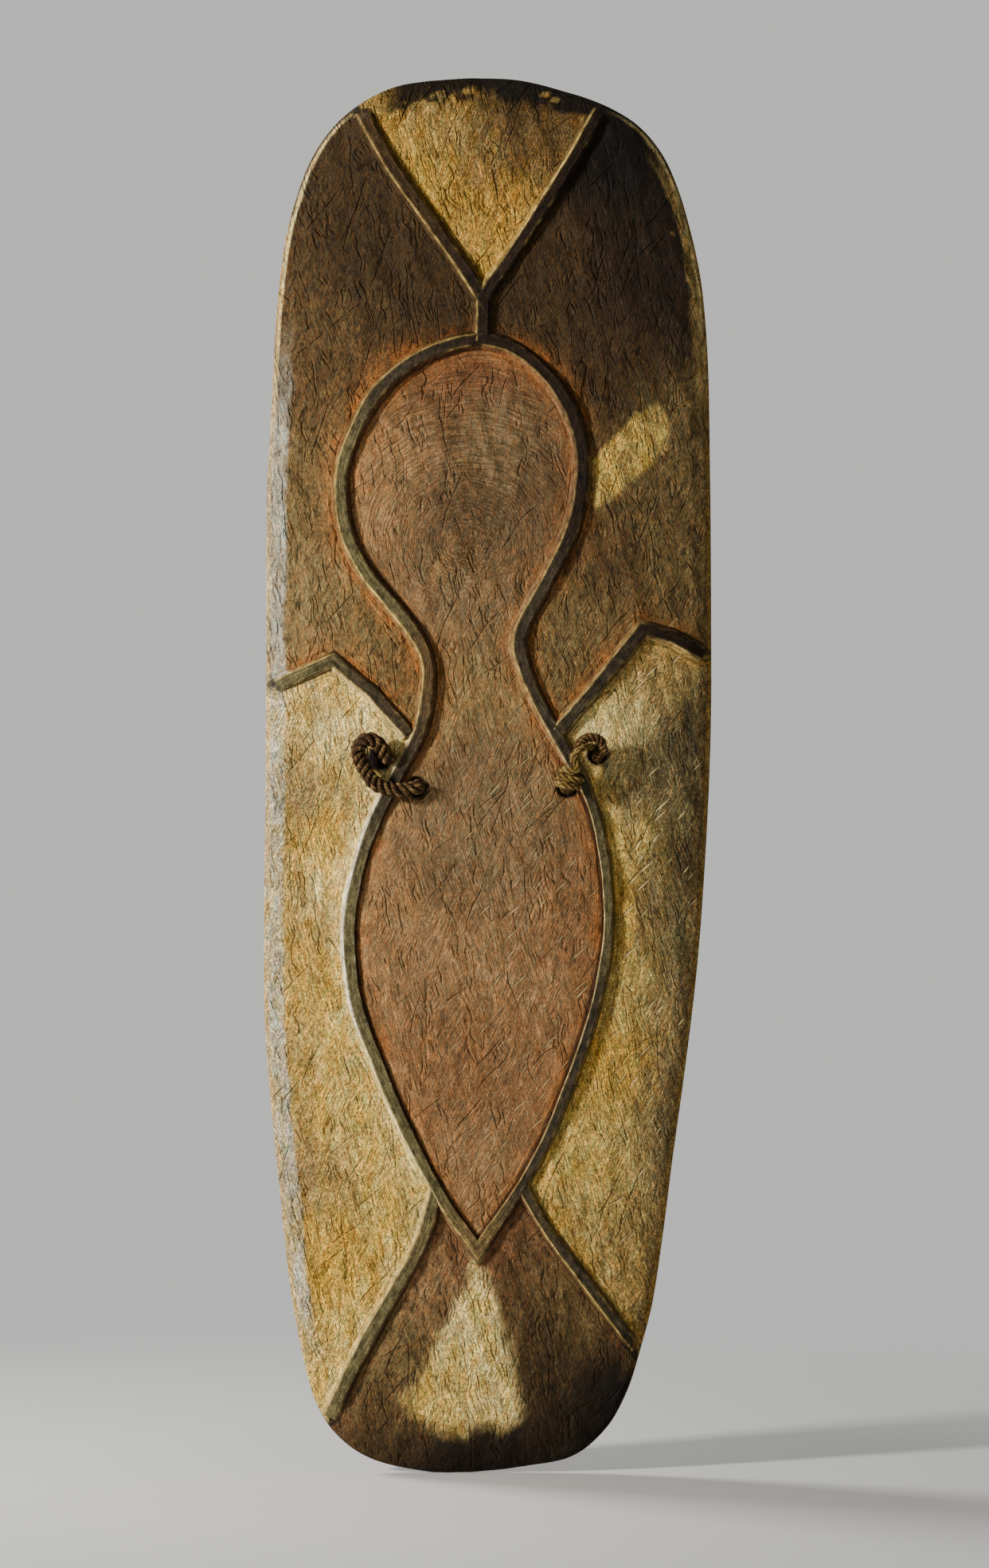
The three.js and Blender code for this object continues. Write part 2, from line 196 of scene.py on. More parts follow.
LEFT_LOOP = MM * np.array([
    [-113, -34.5, 28], [-120, -38, 36], [-129, -39.5, 37.5], [-136.5, -39, 32],
    [-138.5, -37.5, 23], [-135, -36, 13.5], [-130, -35, 4.5], [-125, -34.8, -4],
    [-117, -34.8, -11], [-106, -35, -15], [-94, -35, -16.5], [-83, -32.5, -15.5],
])
RIGHT_END = MM * np.array([
    [119, -30, 20.5], [122.5, -35, 25.5], [123, -37.5, 33], [116.5, -39.5, 39],
    [107, -40, 39.5], [99, -40, 34], [95.5, -40, 25], [92.5, -39.7, 18],
])
RUN_SHARES = np.array([
    [-1, 0, 0], [-1, 0.06, 0.55], [-0.98, 0.16, 0.95], [-0.93, 0.34, 1], [-0.82, 0.56, 0.85],
    [-0.62, 0.78, 0.6], [-0.34, 0.94, 0.4], [0, 1, 0.3], [0.34, 0.94, 0.4], [0.62, 0.78, 0.6],
    [0.82, 0.56, 0.85], [0.93, 0.34, 1], [0.98, 0.16, 0.95], [1, 0.06, 0.55], [1, 0, 0],
])
RUN_BULGE = 16 * MM
UPPER_DROP = 180 * MM
LOWER_DROP = 110 * MM
INSIDE_HOLE = 14 * MM
PASSAGE_BACK = -6 * MM


def hole_point(name, depth):
    """The place on a hole's axis at a depth."""
    x, z = HOLES[name]
    return np.array([x, depth, z])


def from_hole_to_hole(points, inward):
    """A smooth line through the points that begins and ends inside the two holes."""
    first, last = points[0] + [0, inward, 0], points[-1] + [0, inward, 0]
    return smooth_line(np.vstack([first, points, last]))


def left_loop_route():
    """Out of the upper left hole, over the ridge and into the lower left hole."""
    start = hole_point("upper_left", FRONT_MOUTH)
    end = hole_point("lower_left", FRONT_MOUTH)
    return from_hole_to_hole(np.vstack([start, LEFT_LOOP, end]), INSIDE_HOLE)


def back_route(level, drop):
    """A slack run: shares across the span, down the drop and out by the bulge."""
    (x0, z0), (x1, _) = HOLES[level + "_left"], HOLES[level + "_right"]
    across, down, out = RUN_SHARES.T
    x = (x0 + x1) / 2 + across * (x1 - x0) / 2
    points = np.stack([x, BACK_MOUTH + out * RUN_BULGE, z0 - down * drop], axis=1)
    return from_hole_to_hole(points, -BACK_MOUTH + PASSAGE_BACK)


DROPS = {"upper": UPPER_DROP, "lower": LOWER_DROP}
print("left loop", round(line_length(left_loop_route()), 3), "m")
for level, drop in DROPS.items():
    print(level, "run", round(line_length(back_route(level, drop)), 3), "m")

# %% [markdown]
# ## Surfaces on a grid
# Every new piece is a grid of points: rows and columns of a surface, worked out as whole
# arrays. A grid can close on itself one way, as a tube does round its line, and its first
# and last rows can be closed with a point. The faces are the squares between neighbours.
# Points that fall in one place are welded, and an open end is filled with one face.

# %% Grid meshes
WELD_GAP = 1e-6


def grid_faces(rows, columns, closed, looped=False):
    """Squares between neighbours of a grid whose points are numbered row by row. A closed
    grid joins its last column to the first, a looped one its last row too."""
    index = np.arange(rows * columns).reshape(rows, columns)
    if looped:
        index = np.concatenate([index, index[:1]])
    if closed:
        index = np.concatenate([index, index[:, :1]], axis=1)
    a, b = index[:-1, :-1], index[:-1, 1:]
    c, d = index[1:, 1:], index[1:, :-1]
    return np.stack([a, b, c, d], axis=-1).reshape(-1, 4)


def mesh_object(name, points, faces, smooth=True):
    """Puts arrays of points and square faces into a new object."""
    mesh = bpy.data.meshes.new(name)
    mesh.vertices.add(len(points))
    mesh.vertices.foreach_set("co", np.ascontiguousarray(points, np.float32).ravel())
    mesh.loops.add(faces.size)
    mesh.loops.foreach_set("vertex_index", faces.ravel().astype(np.int32))
    mesh.polygons.add(len(faces))
    mesh.polygons.foreach_set("loop_start", np.arange(0, faces.size, faces.shape[1], dtype=np.int32))
    mesh.update(calc_edges=True)
    mesh.validate()
    if smooth:
        mesh.shade_smooth()
    piece = bpy.data.objects.new(name, mesh)
    bpy.context.scene.collection.objects.link(piece)
    return piece


def edit_mesh(piece, change):
    """Lets a function change the points and faces of a piece."""
    bm = bmesh.new()
    bm.from_mesh(piece.data)
    change(bm)
    bm.to_mesh(piece.data)
    bm.free()


def weld(piece):
    """Joins points that lie in one place, so that seams and end points are closed."""
    edit_mesh(piece, lambda bm: bmesh.ops.remove_doubles(bm, verts=bm.verts, dist=WELD_GAP))


def close_ends(piece):
    """Fills every open end of a sweep with one face, and turns all faces outwards."""

    def fill(bm):
        open_edges = [edge for edge in bm.edges if edge.is_boundary]
        bmesh.ops.holes_fill(bm, edges=open_edges, sides=0)
        bmesh.ops.recalc_face_normals(bm, faces=bm.faces)

    edit_mesh(piece, fill)


# %% [markdown]
# A pattern that follows a surface has to know where it is on it, and paint has to know its
# colour. Both are kept as attributes, a value, a vector or a colour for each point of the
# mesh. A material reads those directly, and an image would need the surface unwrapped.


# %% Attributes
def float_attribute(piece, name, values):
    """Keeps a value for each point."""
    layer = piece.data.attributes.new(name, "FLOAT", "POINT")
    layer.data.foreach_set("value", np.ascontiguousarray(values, np.float32).ravel())


def vector_attribute(piece, name, values):
    """Keeps a vector for each point."""
    layer = piece.data.attributes.new(name, "FLOAT_VECTOR", "POINT")
    layer.data.foreach_set("vector", np.ascontiguousarray(values, np.float32).ravel())


def colour_attribute(piece, name, colours):
    """Keeps an opaque colour for each point."""
    rgba = np.concatenate([colours, np.ones((len(colours), 1))], axis=1)
    layer = piece.data.color_attributes.new(name, "FLOAT_COLOR", "POINT")
    layer.data.foreach_set("color", np.ascontiguousarray(rgba, np.float32).ravel())


# %% [markdown]
# ## Unevenness of the hand
# Nothing on the shield is straight or flat: it was cut by eye. Value noise gives that
# waver. Random heights stand on the corners of a coarse lattice, and the value between
# them is a smooth blend. Adze cuts are made another way: each is a shallow scoop, so the
# depth is the squared distance to the nearest of many scattered centres.


# %% Noise and scoops
LATTICE = 64
FAR_AWAY = 9.0


def value_noise(u, v, seed):
    """Smooth noise from -1 to 1: random corner heights of unit squares, blended."""
    heights = np.random.default_rng(seed).uniform(-1, 1, (LATTICE, LATTICE))
    iu, iv = np.floor(u).astype(int), np.floor(v).astype(int)
    fu, fv = u - iu, v - iv
    fu, fv = fu * fu * (3 - 2 * fu), fv * fv * (3 - 2 * fv)

    def corner(du, dv):
        return heights[(iu + du) % LATTICE, (iv + dv) % LATTICE]

    low = corner(0, 0) * (1 - fu) + corner(1, 0) * fu
    high = corner(0, 1) * (1 - fu) + corner(1, 1) * fu
    return low * (1 - fv) + high * fv


def step_between(value, low, high):
    """0 below low, 1 above high and a smooth step between."""
    t = np.clip((value - low) / (high - low), 0, 1)
    return t * t * (3 - 2 * t)


def layered_noise(u, v, seed, layers=3):
    """Several value noises on top of each other, each half as large and twice as fine."""
    total = sum(value_noise(u * 2**k, v * 2**k, seed + k) / 2**k for k in range(layers))
    return total / (2 - 2 ** (1 - layers))


def scoops(u, v, seed):
    """Depth of adze cuts, 0 in the middle of a cut and rising to its edges: the squared
    distance to the nearest of one scattered centre in each unit square."""
    offsets = np.random.default_rng(seed).uniform(0.1, 0.9, (LATTICE, LATTICE, 2))
    iu, iv = np.floor(u).astype(int), np.floor(v).astype(int)
    nearest = np.full(u.shape, FAR_AWAY)
    for du in (-1, 0, 1):
        for dv in (-1, 0, 1):
            centre = offsets[(iu + du) % LATTICE, (iv + dv) % LATTICE]
            gap = (iu + du + centre[..., 0] - u) ** 2 + (iv + dv + centre[..., 1] - v) ** 2
            nearest = np.minimum(nearest, gap)
    return nearest


# %% [markdown]
# ## Laid rope
# Three strands are twisted together, so the section of the rope is three fat lobes round
# its middle with deep narrow grooves between them, and the section turns once for each
# pitch along the line. The twist is right-handed, as on nearly all rope. The fibres on the
# strands run nearly straight along the rope, because the strands were twisted the other
# way.

# %% Rope surfaces
ROPE_PITCH = 25 * MM
ROPE_COLUMNS = 54
STRANDS = 3
LOBE_POWER = 0.72
GROOVE_DEPTH = 0.2
GROOVE_START = 0.8
GROOVE_WIDTH = 0.2
UNEVENNESS = 0.03


def directions_across(line):
    """The direction along a line at each point, and two directions across it that are
    carried from point to point and so turn as little as they can."""
    along = np.gradient(line, axis=0)
    along /= np.linalg.norm(along, axis=1)[:, None]
    first = np.cross(along[0], [0.31, 0.52, 0.79])
    side = [first / np.linalg.norm(first)]
    for heading in along[1:]:
        carried = side[-1] - heading * (side[-1] @ heading)
        side.append(carried / np.linalg.norm(carried))
    side = np.array(side)
    return along, side, np.cross(along, side)


def tube(line, radius, angle):
    """Points at the given distance from the line: radius (cos side + sin across)."""
    _, side, across = directions_across(line)
    turn_side = np.cos(angle)[..., None] * side[:, None, :]
    turn_across = np.sin(angle)[..., None] * across[:, None, :]
    return line[:, None, :] + radius[..., None] * (turn_side + turn_across)


def lobes(angle, walked, pitch):
    """Share of the full radius round a rope: the cosine of the angle to the nearest strand,
    raised to a power below one for fat strands, and cut deeper where two of them meet."""
    share = 2 * math.pi / STRANDS
    off = (angle - 2 * math.pi * walked / pitch + share / 2) % share - share / 2
    groove = np.clip((np.abs(off) - GROOVE_START * share / 2) / (GROOVE_WIDTH * share / 2), 0, 1)
    return np.cos(off) ** LOBE_POWER - GROOVE_DEPTH * groove, np.cos(off) * 2 - 1


def laid_rope(name, line, diameter, pitch, step=1.1 * MM, frayed=0.0, relief=1.0):
    """A rope of three strands: the lobes are the radius, a little uneven along the way, and
    the two ends are closed with a point. Two attributes say how near the crown of a strand
    a point lies and, in millimetres, where it lies round and along the rope."""
    rows = max(int(line_length(line) / step), 8)
    line = even_steps(line, rows)
    walked = np.linspace(0, line_length(line), rows)[:, None]
    angle = np.linspace(0, 2 * math.pi, ROPE_COLUMNS, endpoint=False)[None, :] + 0 * walked
    lobe, crown = lobes(angle, walked, pitch)
    waver = UNEVENNESS * value_noise(angle * 2.5, walked / (4 * MM), len(name))
    waver += frayed * value_noise(angle * 6, walked / (2 * MM), 3)
    radius = diameter / 2 * (1 - relief * (1 - lobe) + waver)
    radius[[0, -1]] = 0
    points = tube(line, radius, angle)
    piece = mesh_object(name, points.reshape(-1, 3), grid_faces(rows, ROPE_COLUMNS, closed=True))
    float_attribute(piece, "crown", crown)
    around = np.stack([np.cos(angle), np.sin(angle), walked / (diameter / 2) + 0 * angle], axis=-1)
    vector_attribute(piece, "fibre", around.reshape(-1, 3) * diameter / 2 / MM)
    weld(piece)
    return piece


# %% [markdown]
# ## Loose fibres
# Old rope is hairy: here and there a fibre has come loose and stands off. Particle hair
# could grow them, but it isn't a mesh and can't be exported as it is, so each fibre is a
# sliver with three sides, and a seed settles where those of one rope stand.

# %% Loose fibres
HAIR_ROWS = 5
HAIR_SIDES = 3
HAIR_RADIUS = 0.28 * MM


def loose_fibres(name, line, radius, count, length, seed):
    """Thin hairs that leave the rope at a slant: each is a three-sided sliver along a line
    start + run along + rise out, where the rise grows with the square of the way."""
    random = np.random.default_rng(seed)
    along, side, across = directions_across(line)
    at = random.integers(1, len(line) - 1, count)
    turn = random.uniform(0, 2 * math.pi, count)[:, None]
    out = np.cos(turn) * side[at] + np.sin(turn) * across[at]
    sideways = np.cross(out, along[at])
    sense = random.choice([-1, 1], count)[:, None]
    reach = random.uniform(0.4, 1, count)[:, None] * length
    lean = random.uniform(-0.7, 0.7, count)[:, None]
    t = np.linspace(0, 1, HAIR_ROWS)[None, :, None]
    run = reach[:, None] * t * (along[at] * sense + sideways * lean)[:, None]
    rise = (0.9 * radius + 0.35 * reach[:, None] * t**2) * out[:, None]
    middle = line[at][:, None] + run + rise
    corner = 2 * math.pi * np.arange(HAIR_SIDES) / HAIR_SIDES
    width = HAIR_RADIUS * (1 - 0.8 * t)[..., None]
    up, aside = out[:, None, None], sideways[:, None, None]
    ring = np.cos(corner)[:, None] * up + np.sin(corner)[:, None] * aside
    points = (middle[:, :, None] + width * ring).reshape(-1, 3)
    faces = grid_faces(HAIR_ROWS, HAIR_SIDES, closed=True)
    faces = faces[None] + HAIR_ROWS * HAIR_SIDES * np.arange(count)[:, None, None]
    piece = mesh_object(name, points, faces.reshape(-1, 4))
    close_ends(piece)
    return piece


# %% [markdown]
# ## The rope's pieces
# A slack run turns at the mouths of its holes, so its mesh reaches a little into them. The
# piece inside each hole is short, because only its ends could ever be seen.


# %% Slack runs and the loop
HAIR_PLACES = 120
HAIR_LENGTH = 9 * MM


def declare_cord(piece, line):
    """Prints the length of the rope's line."""
    print(piece.name, "is", round(line_length(line), 3), "m of rope")


def add_left_loop():
    """The slack loop on the face, bent at its holes where it is lifted."""
    line = left_loop_route()
    loop = laid_rope("loop_left", line, 1.04 * ROPE, ROPE_PITCH, step=0.9 * MM)
    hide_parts("rope_front_left_loop")
    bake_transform(loop)
    declare_cord(loop, line)
    return loop


def add_back_run(level, drop):
    """A slack run behind the plank, from a left hole to a right one."""
    line = back_route(level, drop)
    run = laid_rope("run_" + level, line, ROPE, ROPE_PITCH)
    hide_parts("rope_" + level + "_back_run")
    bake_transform(run)
    declare_cord(run, line)
    return run


def add_loose_fibres(name, line, body, start, end, count, seed):
    """Hairs on the middle of a rope, which move with its body."""
    line = even_steps(line, HAIR_PLACES)[int(HAIR_PLACES * start) : int(HAIR_PLACES * end)]
    hairs = loose_fibres(name, line, ROPE / 2, count, HAIR_LENGTH, seed)
    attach(hairs, body)
    return hairs


left_loop = add_left_loop()
upper_run = add_back_run("upper", UPPER_DROP)
lower_run = add_back_run("lower", LOWER_DROP)
hairs = [
    add_loose_fibres("hairs_loop", left_loop_route(), "left_loop", 0.2, 0.82, 150, 1),
    add_loose_fibres("hairs_upper", back_route("upper", UPPER_DROP), "upper_run", 0.08, 0.92, 300, 2),
    add_loose_fibres("hairs_lower", back_route("lower", LOWER_DROP), "lower_run", 0.12, 0.88, 200, 3),
]

# %% [markdown]
# ## The bound end
# On the right the rope has thinned to two thirds. It comes out of the upper hole, turns
# once round on itself as a small ring, and goes down through a few turns of a pale strand,
# which bind it to the other end. The turns are tilted, and the strand that makes them goes
# on up over the rope and ends inside the ring.

# %% Routes of the bound end
WHIPPING_STRAND = 7.5 * MM
WHIPPING_PITCH = 8.1 * MM
WHIPPING_TURNS = 2.25
WHIPPING_PLACE = np.array([88.3, 0, -5]) * MM
WHIPPING_REACH = 11.5 * MM
WHIPPING_TILT = math.radians(20)
RIDGE_HEIGHT = 6 * MM
WHIPPING_RADIUS = END_ROPE / 2 + MOUTH_GAP + WHIPPING_STRAND / 2
WHIPPING_DEPTH = -PLANK_THICKNESS - RIDGE_HEIGHT - MOUTH_GAP - WHIPPING_RADIUS - WHIPPING_STRAND / 2
WHIPPING_HEIGHT = WHIPPING_TURNS * WHIPPING_PITCH
TAIL_SHARES = np.array([1, 0, -0.75])
TURN_POINTS = 90
END_LEAD = -25.3 * MM
PASSAGE_FRONTS = {
    "upper_left": -14 * MM, "lower_left": -14 * MM, "upper_right": -13 * MM, "lower_right": -20 * MM,
}
WHIPPING_LEAD = MM * np.array([
    [4.3, -0.7, 1.5], [4.3, -1.6, 7], [2, -2, 13], [3.5, -1.9, 19], [8.3, -0.6, 24],
    [13, 2, 26], [17, 7.6, 26], [19.5, 16, 26], [20.5, 23.5, 25.5],
])


def place_in_whipping(x, y, z):
    """Points counted from the middle of the whipping, turned about y by its tilt."""
    turned_x = x * math.cos(WHIPPING_TILT) + z * math.sin(WHIPPING_TILT)
    turned_z = z * math.cos(WHIPPING_TILT) - x * math.sin(WHIPPING_TILT)
    return np.stack([turned_x, y + WHIPPING_DEPTH, turned_z], axis=-1) + WHIPPING_PLACE


def right_end_route():
    """Up out of the hole, once round, and straight down through the whipping."""
    start = hole_point("upper_right", PASSAGE_FRONTS["upper_right"])
    lead = hole_point("upper_right", END_LEAD)
    along = TAIL_SHARES * (WHIPPING_HEIGHT / 2 + WHIPPING_STRAND)
    tail = place_in_whipping(0 * along, 0 * along, along)
    return smooth_line(np.vstack([start, lead, RIGHT_END, tail]))


def whipping_route():
    """A few turns of an oval helix round the tail, and the lead up into the ring."""
    turn = np.linspace(0, WHIPPING_TURNS, TURN_POINTS)
    angle = 2 * math.pi * (turn - WHIPPING_TURNS) - math.pi / 2
    along = (turn - WHIPPING_TURNS / 2) * WHIPPING_PITCH
    turns = place_in_whipping(WHIPPING_REACH * np.cos(angle), WHIPPING_RADIUS * np.sin(angle), along)
    return smooth_line(np.vstack([turns[::6], turns[-1:], turns[-1] + WHIPPING_LEAD]))


# %% [markdown]
# Both are laid rope like the rest, more frayed, and tied fast, so they stay with the plank.
# So does the rope inside each hole, which closes the lacing. It is a piece of its own, so
# that the loop and the runs can turn at the mouths while it keeps still.

# %% The bound end and the rope in the holes
STRAND_PITCH = 23 * MM
END_PITCH = 16 * MM
END_STEP = 0.8 * MM
END_POINTS = 80
END_HIDDEN = 12
PASSAGE_ROPE = 17.2 * MM
PASSAGE_POINTS = 12


def fix_to_board(piece, node):
    """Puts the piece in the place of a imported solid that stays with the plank."""
    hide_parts(node)
    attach(piece, "board")


def add_passage(name, front):
    """The straight rope inside a hole, squeezed by it until no light comes through."""
    line = np.linspace(hole_point(name, front), hole_point(name, PASSAGE_BACK), PASSAGE_POINTS)
    piece = laid_rope("passage_" + name, line, PASSAGE_ROPE, ROPE_PITCH, relief=0.25)
    fix_to_board(piece, "rope_" + name + "_passage")
    return piece


end_line, strand_line = right_end_route(), whipping_route()
right_end = laid_rope("end_right", end_line, END_ROPE, END_PITCH, END_STEP, frayed=0.06)
whipping = laid_rope("whipping", strand_line, WHIPPING_STRAND, STRAND_PITCH, END_STEP, frayed=0.1)
fix_to_board(right_end, "rope_front_right_end")
fix_to_board(whipping, "rope_end_whipping")
declare_cord(right_end, end_line)
passages = [add_passage(name, front) for name, front in PASSAGE_FRONTS.items()]

strand_line = even_steps(strand_line, TURN_POINTS)
pale_hairs = loose_fibres("hairs_whipping", strand_line, 4 * MM, 140, 7 * MM, 4)
end_line = even_steps(end_line, END_POINTS)[END_HIDDEN:]
hairs.append(loose_fibres("hairs_end", end_line, END_ROPE / 2, 160, 8 * MM, 5))
for piece in (pale_hairs, hairs[-1]):
    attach(piece, "board")
print(len(hairs) + 1, "bundles of loose fibres")

# %% [markdown]
# ## The plank's shape
# The face falls back from a flat middle towards the sides and the ends, and the back
# follows it at a thickness that thins to the edge. The rim was cut by eye, so it is a
# smooth curve through given points, as shares of half the width and half the
# height. They are the imported model's, because the skin has to lie over its solid.

# %% The plank's lines
SIDE_SWEEP = 26 * MM
END_SWEEP = 22 * MM
FLAT_REACH = 60 * MM
SPINE_REACH = 515 * MM
EDGE_THICKNESS = 12 * MM
BEVEL_WIDTH = 20 * MM
BEVEL_DEPTH = 5 * MM
TAPER_START = 0.3
HALF = np.array([PLANK_WIDTH / 2, PLANK_HEIGHT / 2])

RIM = HALF * np.array([
    [-0.043, 1.0], [-0.185, 0.998], [-0.399, 0.989], [-0.542, 0.969], [-0.684, 0.933],
    [-0.791, 0.883], [-0.863, 0.821], [-0.906, 0.763], [-0.941, 0.666], [-0.963, 0.541],
    [-0.984, 0.415], [-0.988, 0.198], [-0.991, -0.031], [-0.998, -0.214], [-0.995, -0.351],
    [-0.966, -0.477], [-0.927, -0.597], [-0.884, -0.728], [-0.824, -0.837], [-0.763, -0.905],
    [-0.684, -0.945], [-0.542, -0.979], [-0.292, -0.999], [-0.043, -1.0], [0.171, -0.992],
    [0.385, -0.977], [0.535, -0.936], [0.627, -0.882], [0.688, -0.819], [0.734, -0.762],
    [0.781, -0.665], [0.824, -0.557], [0.888, -0.408], [0.938, -0.271], [0.977, -0.099],
    [0.998, 0.061], [1.0, 0.243], [0.995, 0.449], [0.984, 0.609], [0.955, 0.712],
    [0.906, 0.786], [0.848, 0.847], [0.777, 0.895], [0.67, 0.934], [0.528, 0.961],
    [0.314, 0.984], [0.135, 0.997],
])

# %% [markdown]
# The middle lines of the ridges are given by shares too. Most are smooth curves through
# their points, and the neck and the arms are straight from point to point.

# %% Lines of the ridges
RIDGES = {
    "figure_left": (True, [
        [-0.025, 0.624], [-0.132, 0.619], [-0.292, 0.6], [-0.428, 0.57], [-0.524, 0.533],
        [-0.595, 0.489], [-0.642, 0.449], [-0.656, 0.398], [-0.62, 0.335], [-0.545, 0.289],
        [-0.442, 0.248], [-0.335, 0.206], [-0.271, 0.166], [-0.264, 0.123], [-0.31, 0.055],
        [-0.406, -0.002], [-0.517, -0.077], [-0.592, -0.157], [-0.617, -0.225],
        [-0.585, -0.322], [-0.488, -0.414], [-0.357, -0.511], [-0.185, -0.616],
        [-0.043, -0.68],
    ]),
    "figure_right": (True, [
        [-0.025, 0.624], [0.1, 0.613], [0.235, 0.582], [0.349, 0.535], [0.41, 0.481],
        [0.421, 0.426], [0.378, 0.355], [0.267, 0.28], [0.175, 0.223], [0.143, 0.189],
        [0.164, 0.154], [0.239, 0.098], [0.342, 0.038], [0.428, -0.014], [0.499, -0.082],
        [0.538, -0.174], [0.535, -0.242], [0.474, -0.337], [0.364, -0.442], [0.235, -0.539],
        [0.107, -0.611], [-0.043, -0.68],
    ]),
    "crest_left": (True, [
        [-0.585, 0.968], [-0.499, 0.912], [-0.414, 0.866], [-0.299, 0.813], [-0.196, 0.766],
        [-0.1, 0.723], [-0.021, 0.682],
    ]),
    "crest_right": (True, [
        [0.528, 0.97], [0.403, 0.895], [0.317, 0.849], [0.171, 0.775], [0.086, 0.733],
        [0.021, 0.705], [-0.021, 0.682],
    ]),
    "neck": (False, [[-0.021, 0.689], [-0.025, 0.621]]),
    "arm_left": (False, [[-0.349, 0.058], [-0.517, 0.118], [-0.688, 0.165], [-0.955, 0.127]]),
    "arm_right": (False, [
        [0.314, 0.061], [0.485, 0.126], [0.692, 0.209], [0.831, 0.197], [0.97, 0.173],
    ]),
    "leg_left": (True, [
        [-0.228, -0.589], [-0.282, -0.657], [-0.403, -0.734], [-0.524, -0.803],
        [-0.638, -0.873], [-0.713, -0.927],
    ]),
    "leg_right": (True, [
        [0.153, -0.589], [0.271, -0.654], [0.431, -0.722], [0.602, -0.797], [0.677, -0.831],
    ]),
}


def ridge_line(name):
    """The middle line of a ridge as x and z in metres, smooth or with straight arms."""
    smooth, shares = RIDGES[name]
    points = HALF * np.array(shares)
    return smooth_line(points) if smooth else points


# %% [markdown]
# Carving and paint are worked out from a few measures: how deep the face lies at a place,
# how far the place is from a line, and whether it is inside an outline.


# %% Measures on the face
def face_depth(x, z):
    """Depth of the face: flat in the middle, then falling back with the square of the
    way to the side and to the end."""
    side = np.maximum(0, np.abs(x) - FLAT_REACH) / (PLANK_WIDTH / 2 - FLAT_REACH)
    end = np.maximum(0, np.abs(z) - FLAT_REACH) / (PLANK_HEIGHT / 2 - FLAT_REACH)
    return SIDE_SWEEP * side**2 + END_SWEEP * end**2 - PLANK_THICKNESS


def distance_to_line(x, z, line):
    """The least distance from each point to a line of straight stretches."""
    nearest = np.full(x.shape, FAR_AWAY)
    for (ax, az), (bx, bz) in zip(line[:-1], line[1:]):
        ex, ez = bx - ax, bz - az
        share = np.clip(((x - ax) * ex + (z - az) * ez) / (ex * ex + ez * ez), 0, 1)
        nearest = np.minimum(nearest, np.hypot(x - ax - share * ex, z - az - share * ez))
    return nearest


def inside(x, z, border):
    """True inside a closed border: a level ray from the point crosses it an odd number
    of times."""
    odd = np.zeros(x.shape, bool)
    for (ax, az), (bx, bz) in zip(border, np.roll(border, -1, axis=0)):
        if az == bz:
            continue
        crosses = ((az > z) != (bz > z)) & (x < ax + (z - az) * (bx - ax) / (bz - az))
        odd ^= crosses
    return odd


RIDGE_LINES = {name: ridge_line(name) for name in RIDGES}
COARSE_LINES = {
    name: even_steps(line, max(len(RIDGES[name][1]) * 3, 4)) if RIDGES[name][0] else line
    for name, line in RIDGE_LINES.items()
}
print(round(sum(line_length(line) for line in RIDGE_LINES.values()), 2), "m of ridges")

# %% [markdown]
# ## Fields between the ridges
# The ridges part the face into fields: the figure in the middle, the crest above it, the
# foot below it, a panel at each side under the arms, and the dark upper fields. Where a
# field runs out to the rim, its outline goes on to points beyond the plank. The same areas
# are needed twice, for the carving and for the paint.

# %% Fields between the ridges
BEYOND_END = 0.9
BEYOND_SIDE = 0.4
NEAR_MIDDLE = 0.01
UPPER_PARTING = -0.005


def outline(*stretches):
    """One closed outline from several lines or single points, end to end."""
    return np.vstack([np.atleast_2d(stretch) for stretch in stretches])


def field_masks(x, z):
    """For each field, 1 inside it and 0 outside."""
    line = COARSE_LINES
    figure = inside(x, z, outline(line["figure_left"], line["figure_right"][::-1]))
    crest = inside(x, z, outline(
        line["crest_left"], line["crest_right"][::-1], [0.11, BEYOND_END], [-0.14, BEYOND_END],
    ))
    foot = inside(x, z, outline(
        line["leg_left"][::-1], line["leg_right"], [0.2, -BEYOND_END], [-0.2, -BEYOND_END],
    ))
    left = inside(x, z, outline(
        line["arm_left"], [-BEYOND_SIDE, 0.09], [-BEYOND_SIDE, -BEYOND_END], [-0.19, -0.72],
        line["leg_left"][::-1], [-NEAR_MIDDLE, -0.4], [-NEAR_MIDDLE, 0.03],
    ))
    right = inside(x, z, outline(
        line["arm_right"], [BEYOND_SIDE, 0.12], [BEYOND_SIDE, -BEYOND_END], [0.19, -0.64],
        line["leg_right"][::-1], [NEAR_MIDDLE, -0.4], [NEAR_MIDDLE, 0.03],
    ))
    taken = figure | crest | foot
    rest = ~(taken | left | right)
    masks = {
        "figure": figure, "crest": crest & ~figure, "foot": foot & ~figure,
        "left_panel": left & ~taken, "right_panel": right & ~taken & ~left,
        "upper_left": rest & (x < UPPER_PARTING), "upper_right": rest & (x >= UPPER_PARTING),
    }
    return {name: mask.astype(float) for name, mask in masks.items()}


# %% [markdown]
# ## Rings of the skin
# The plank's skin is one grid of rings between the rim and a spine down the middle. Each
# ring is the rim drawn in towards the spine, so the edge is exact and the rings run along
# the bevel. A square grid would cut the edge in steps. On the face the rings lie up to 4 mm
# apart, which is fine enough for the adze cuts, and closer on the bevel.

# %% Rings of the skin
AROUND = 860
FIELD_RINGS = 62
BACK_RINGS = 30
BEVEL_STEPS = MM * np.array([25, 22, 19, 16, 13, 10, 7.5, 5.5, 4, 2.2, 0.8, 0])

rim_line = even_steps(smooth_line(RIM, closed=True), AROUND + 1)[:-1]
coarse_rim = np.vstack([rim_line[::4], rim_line[:1]])


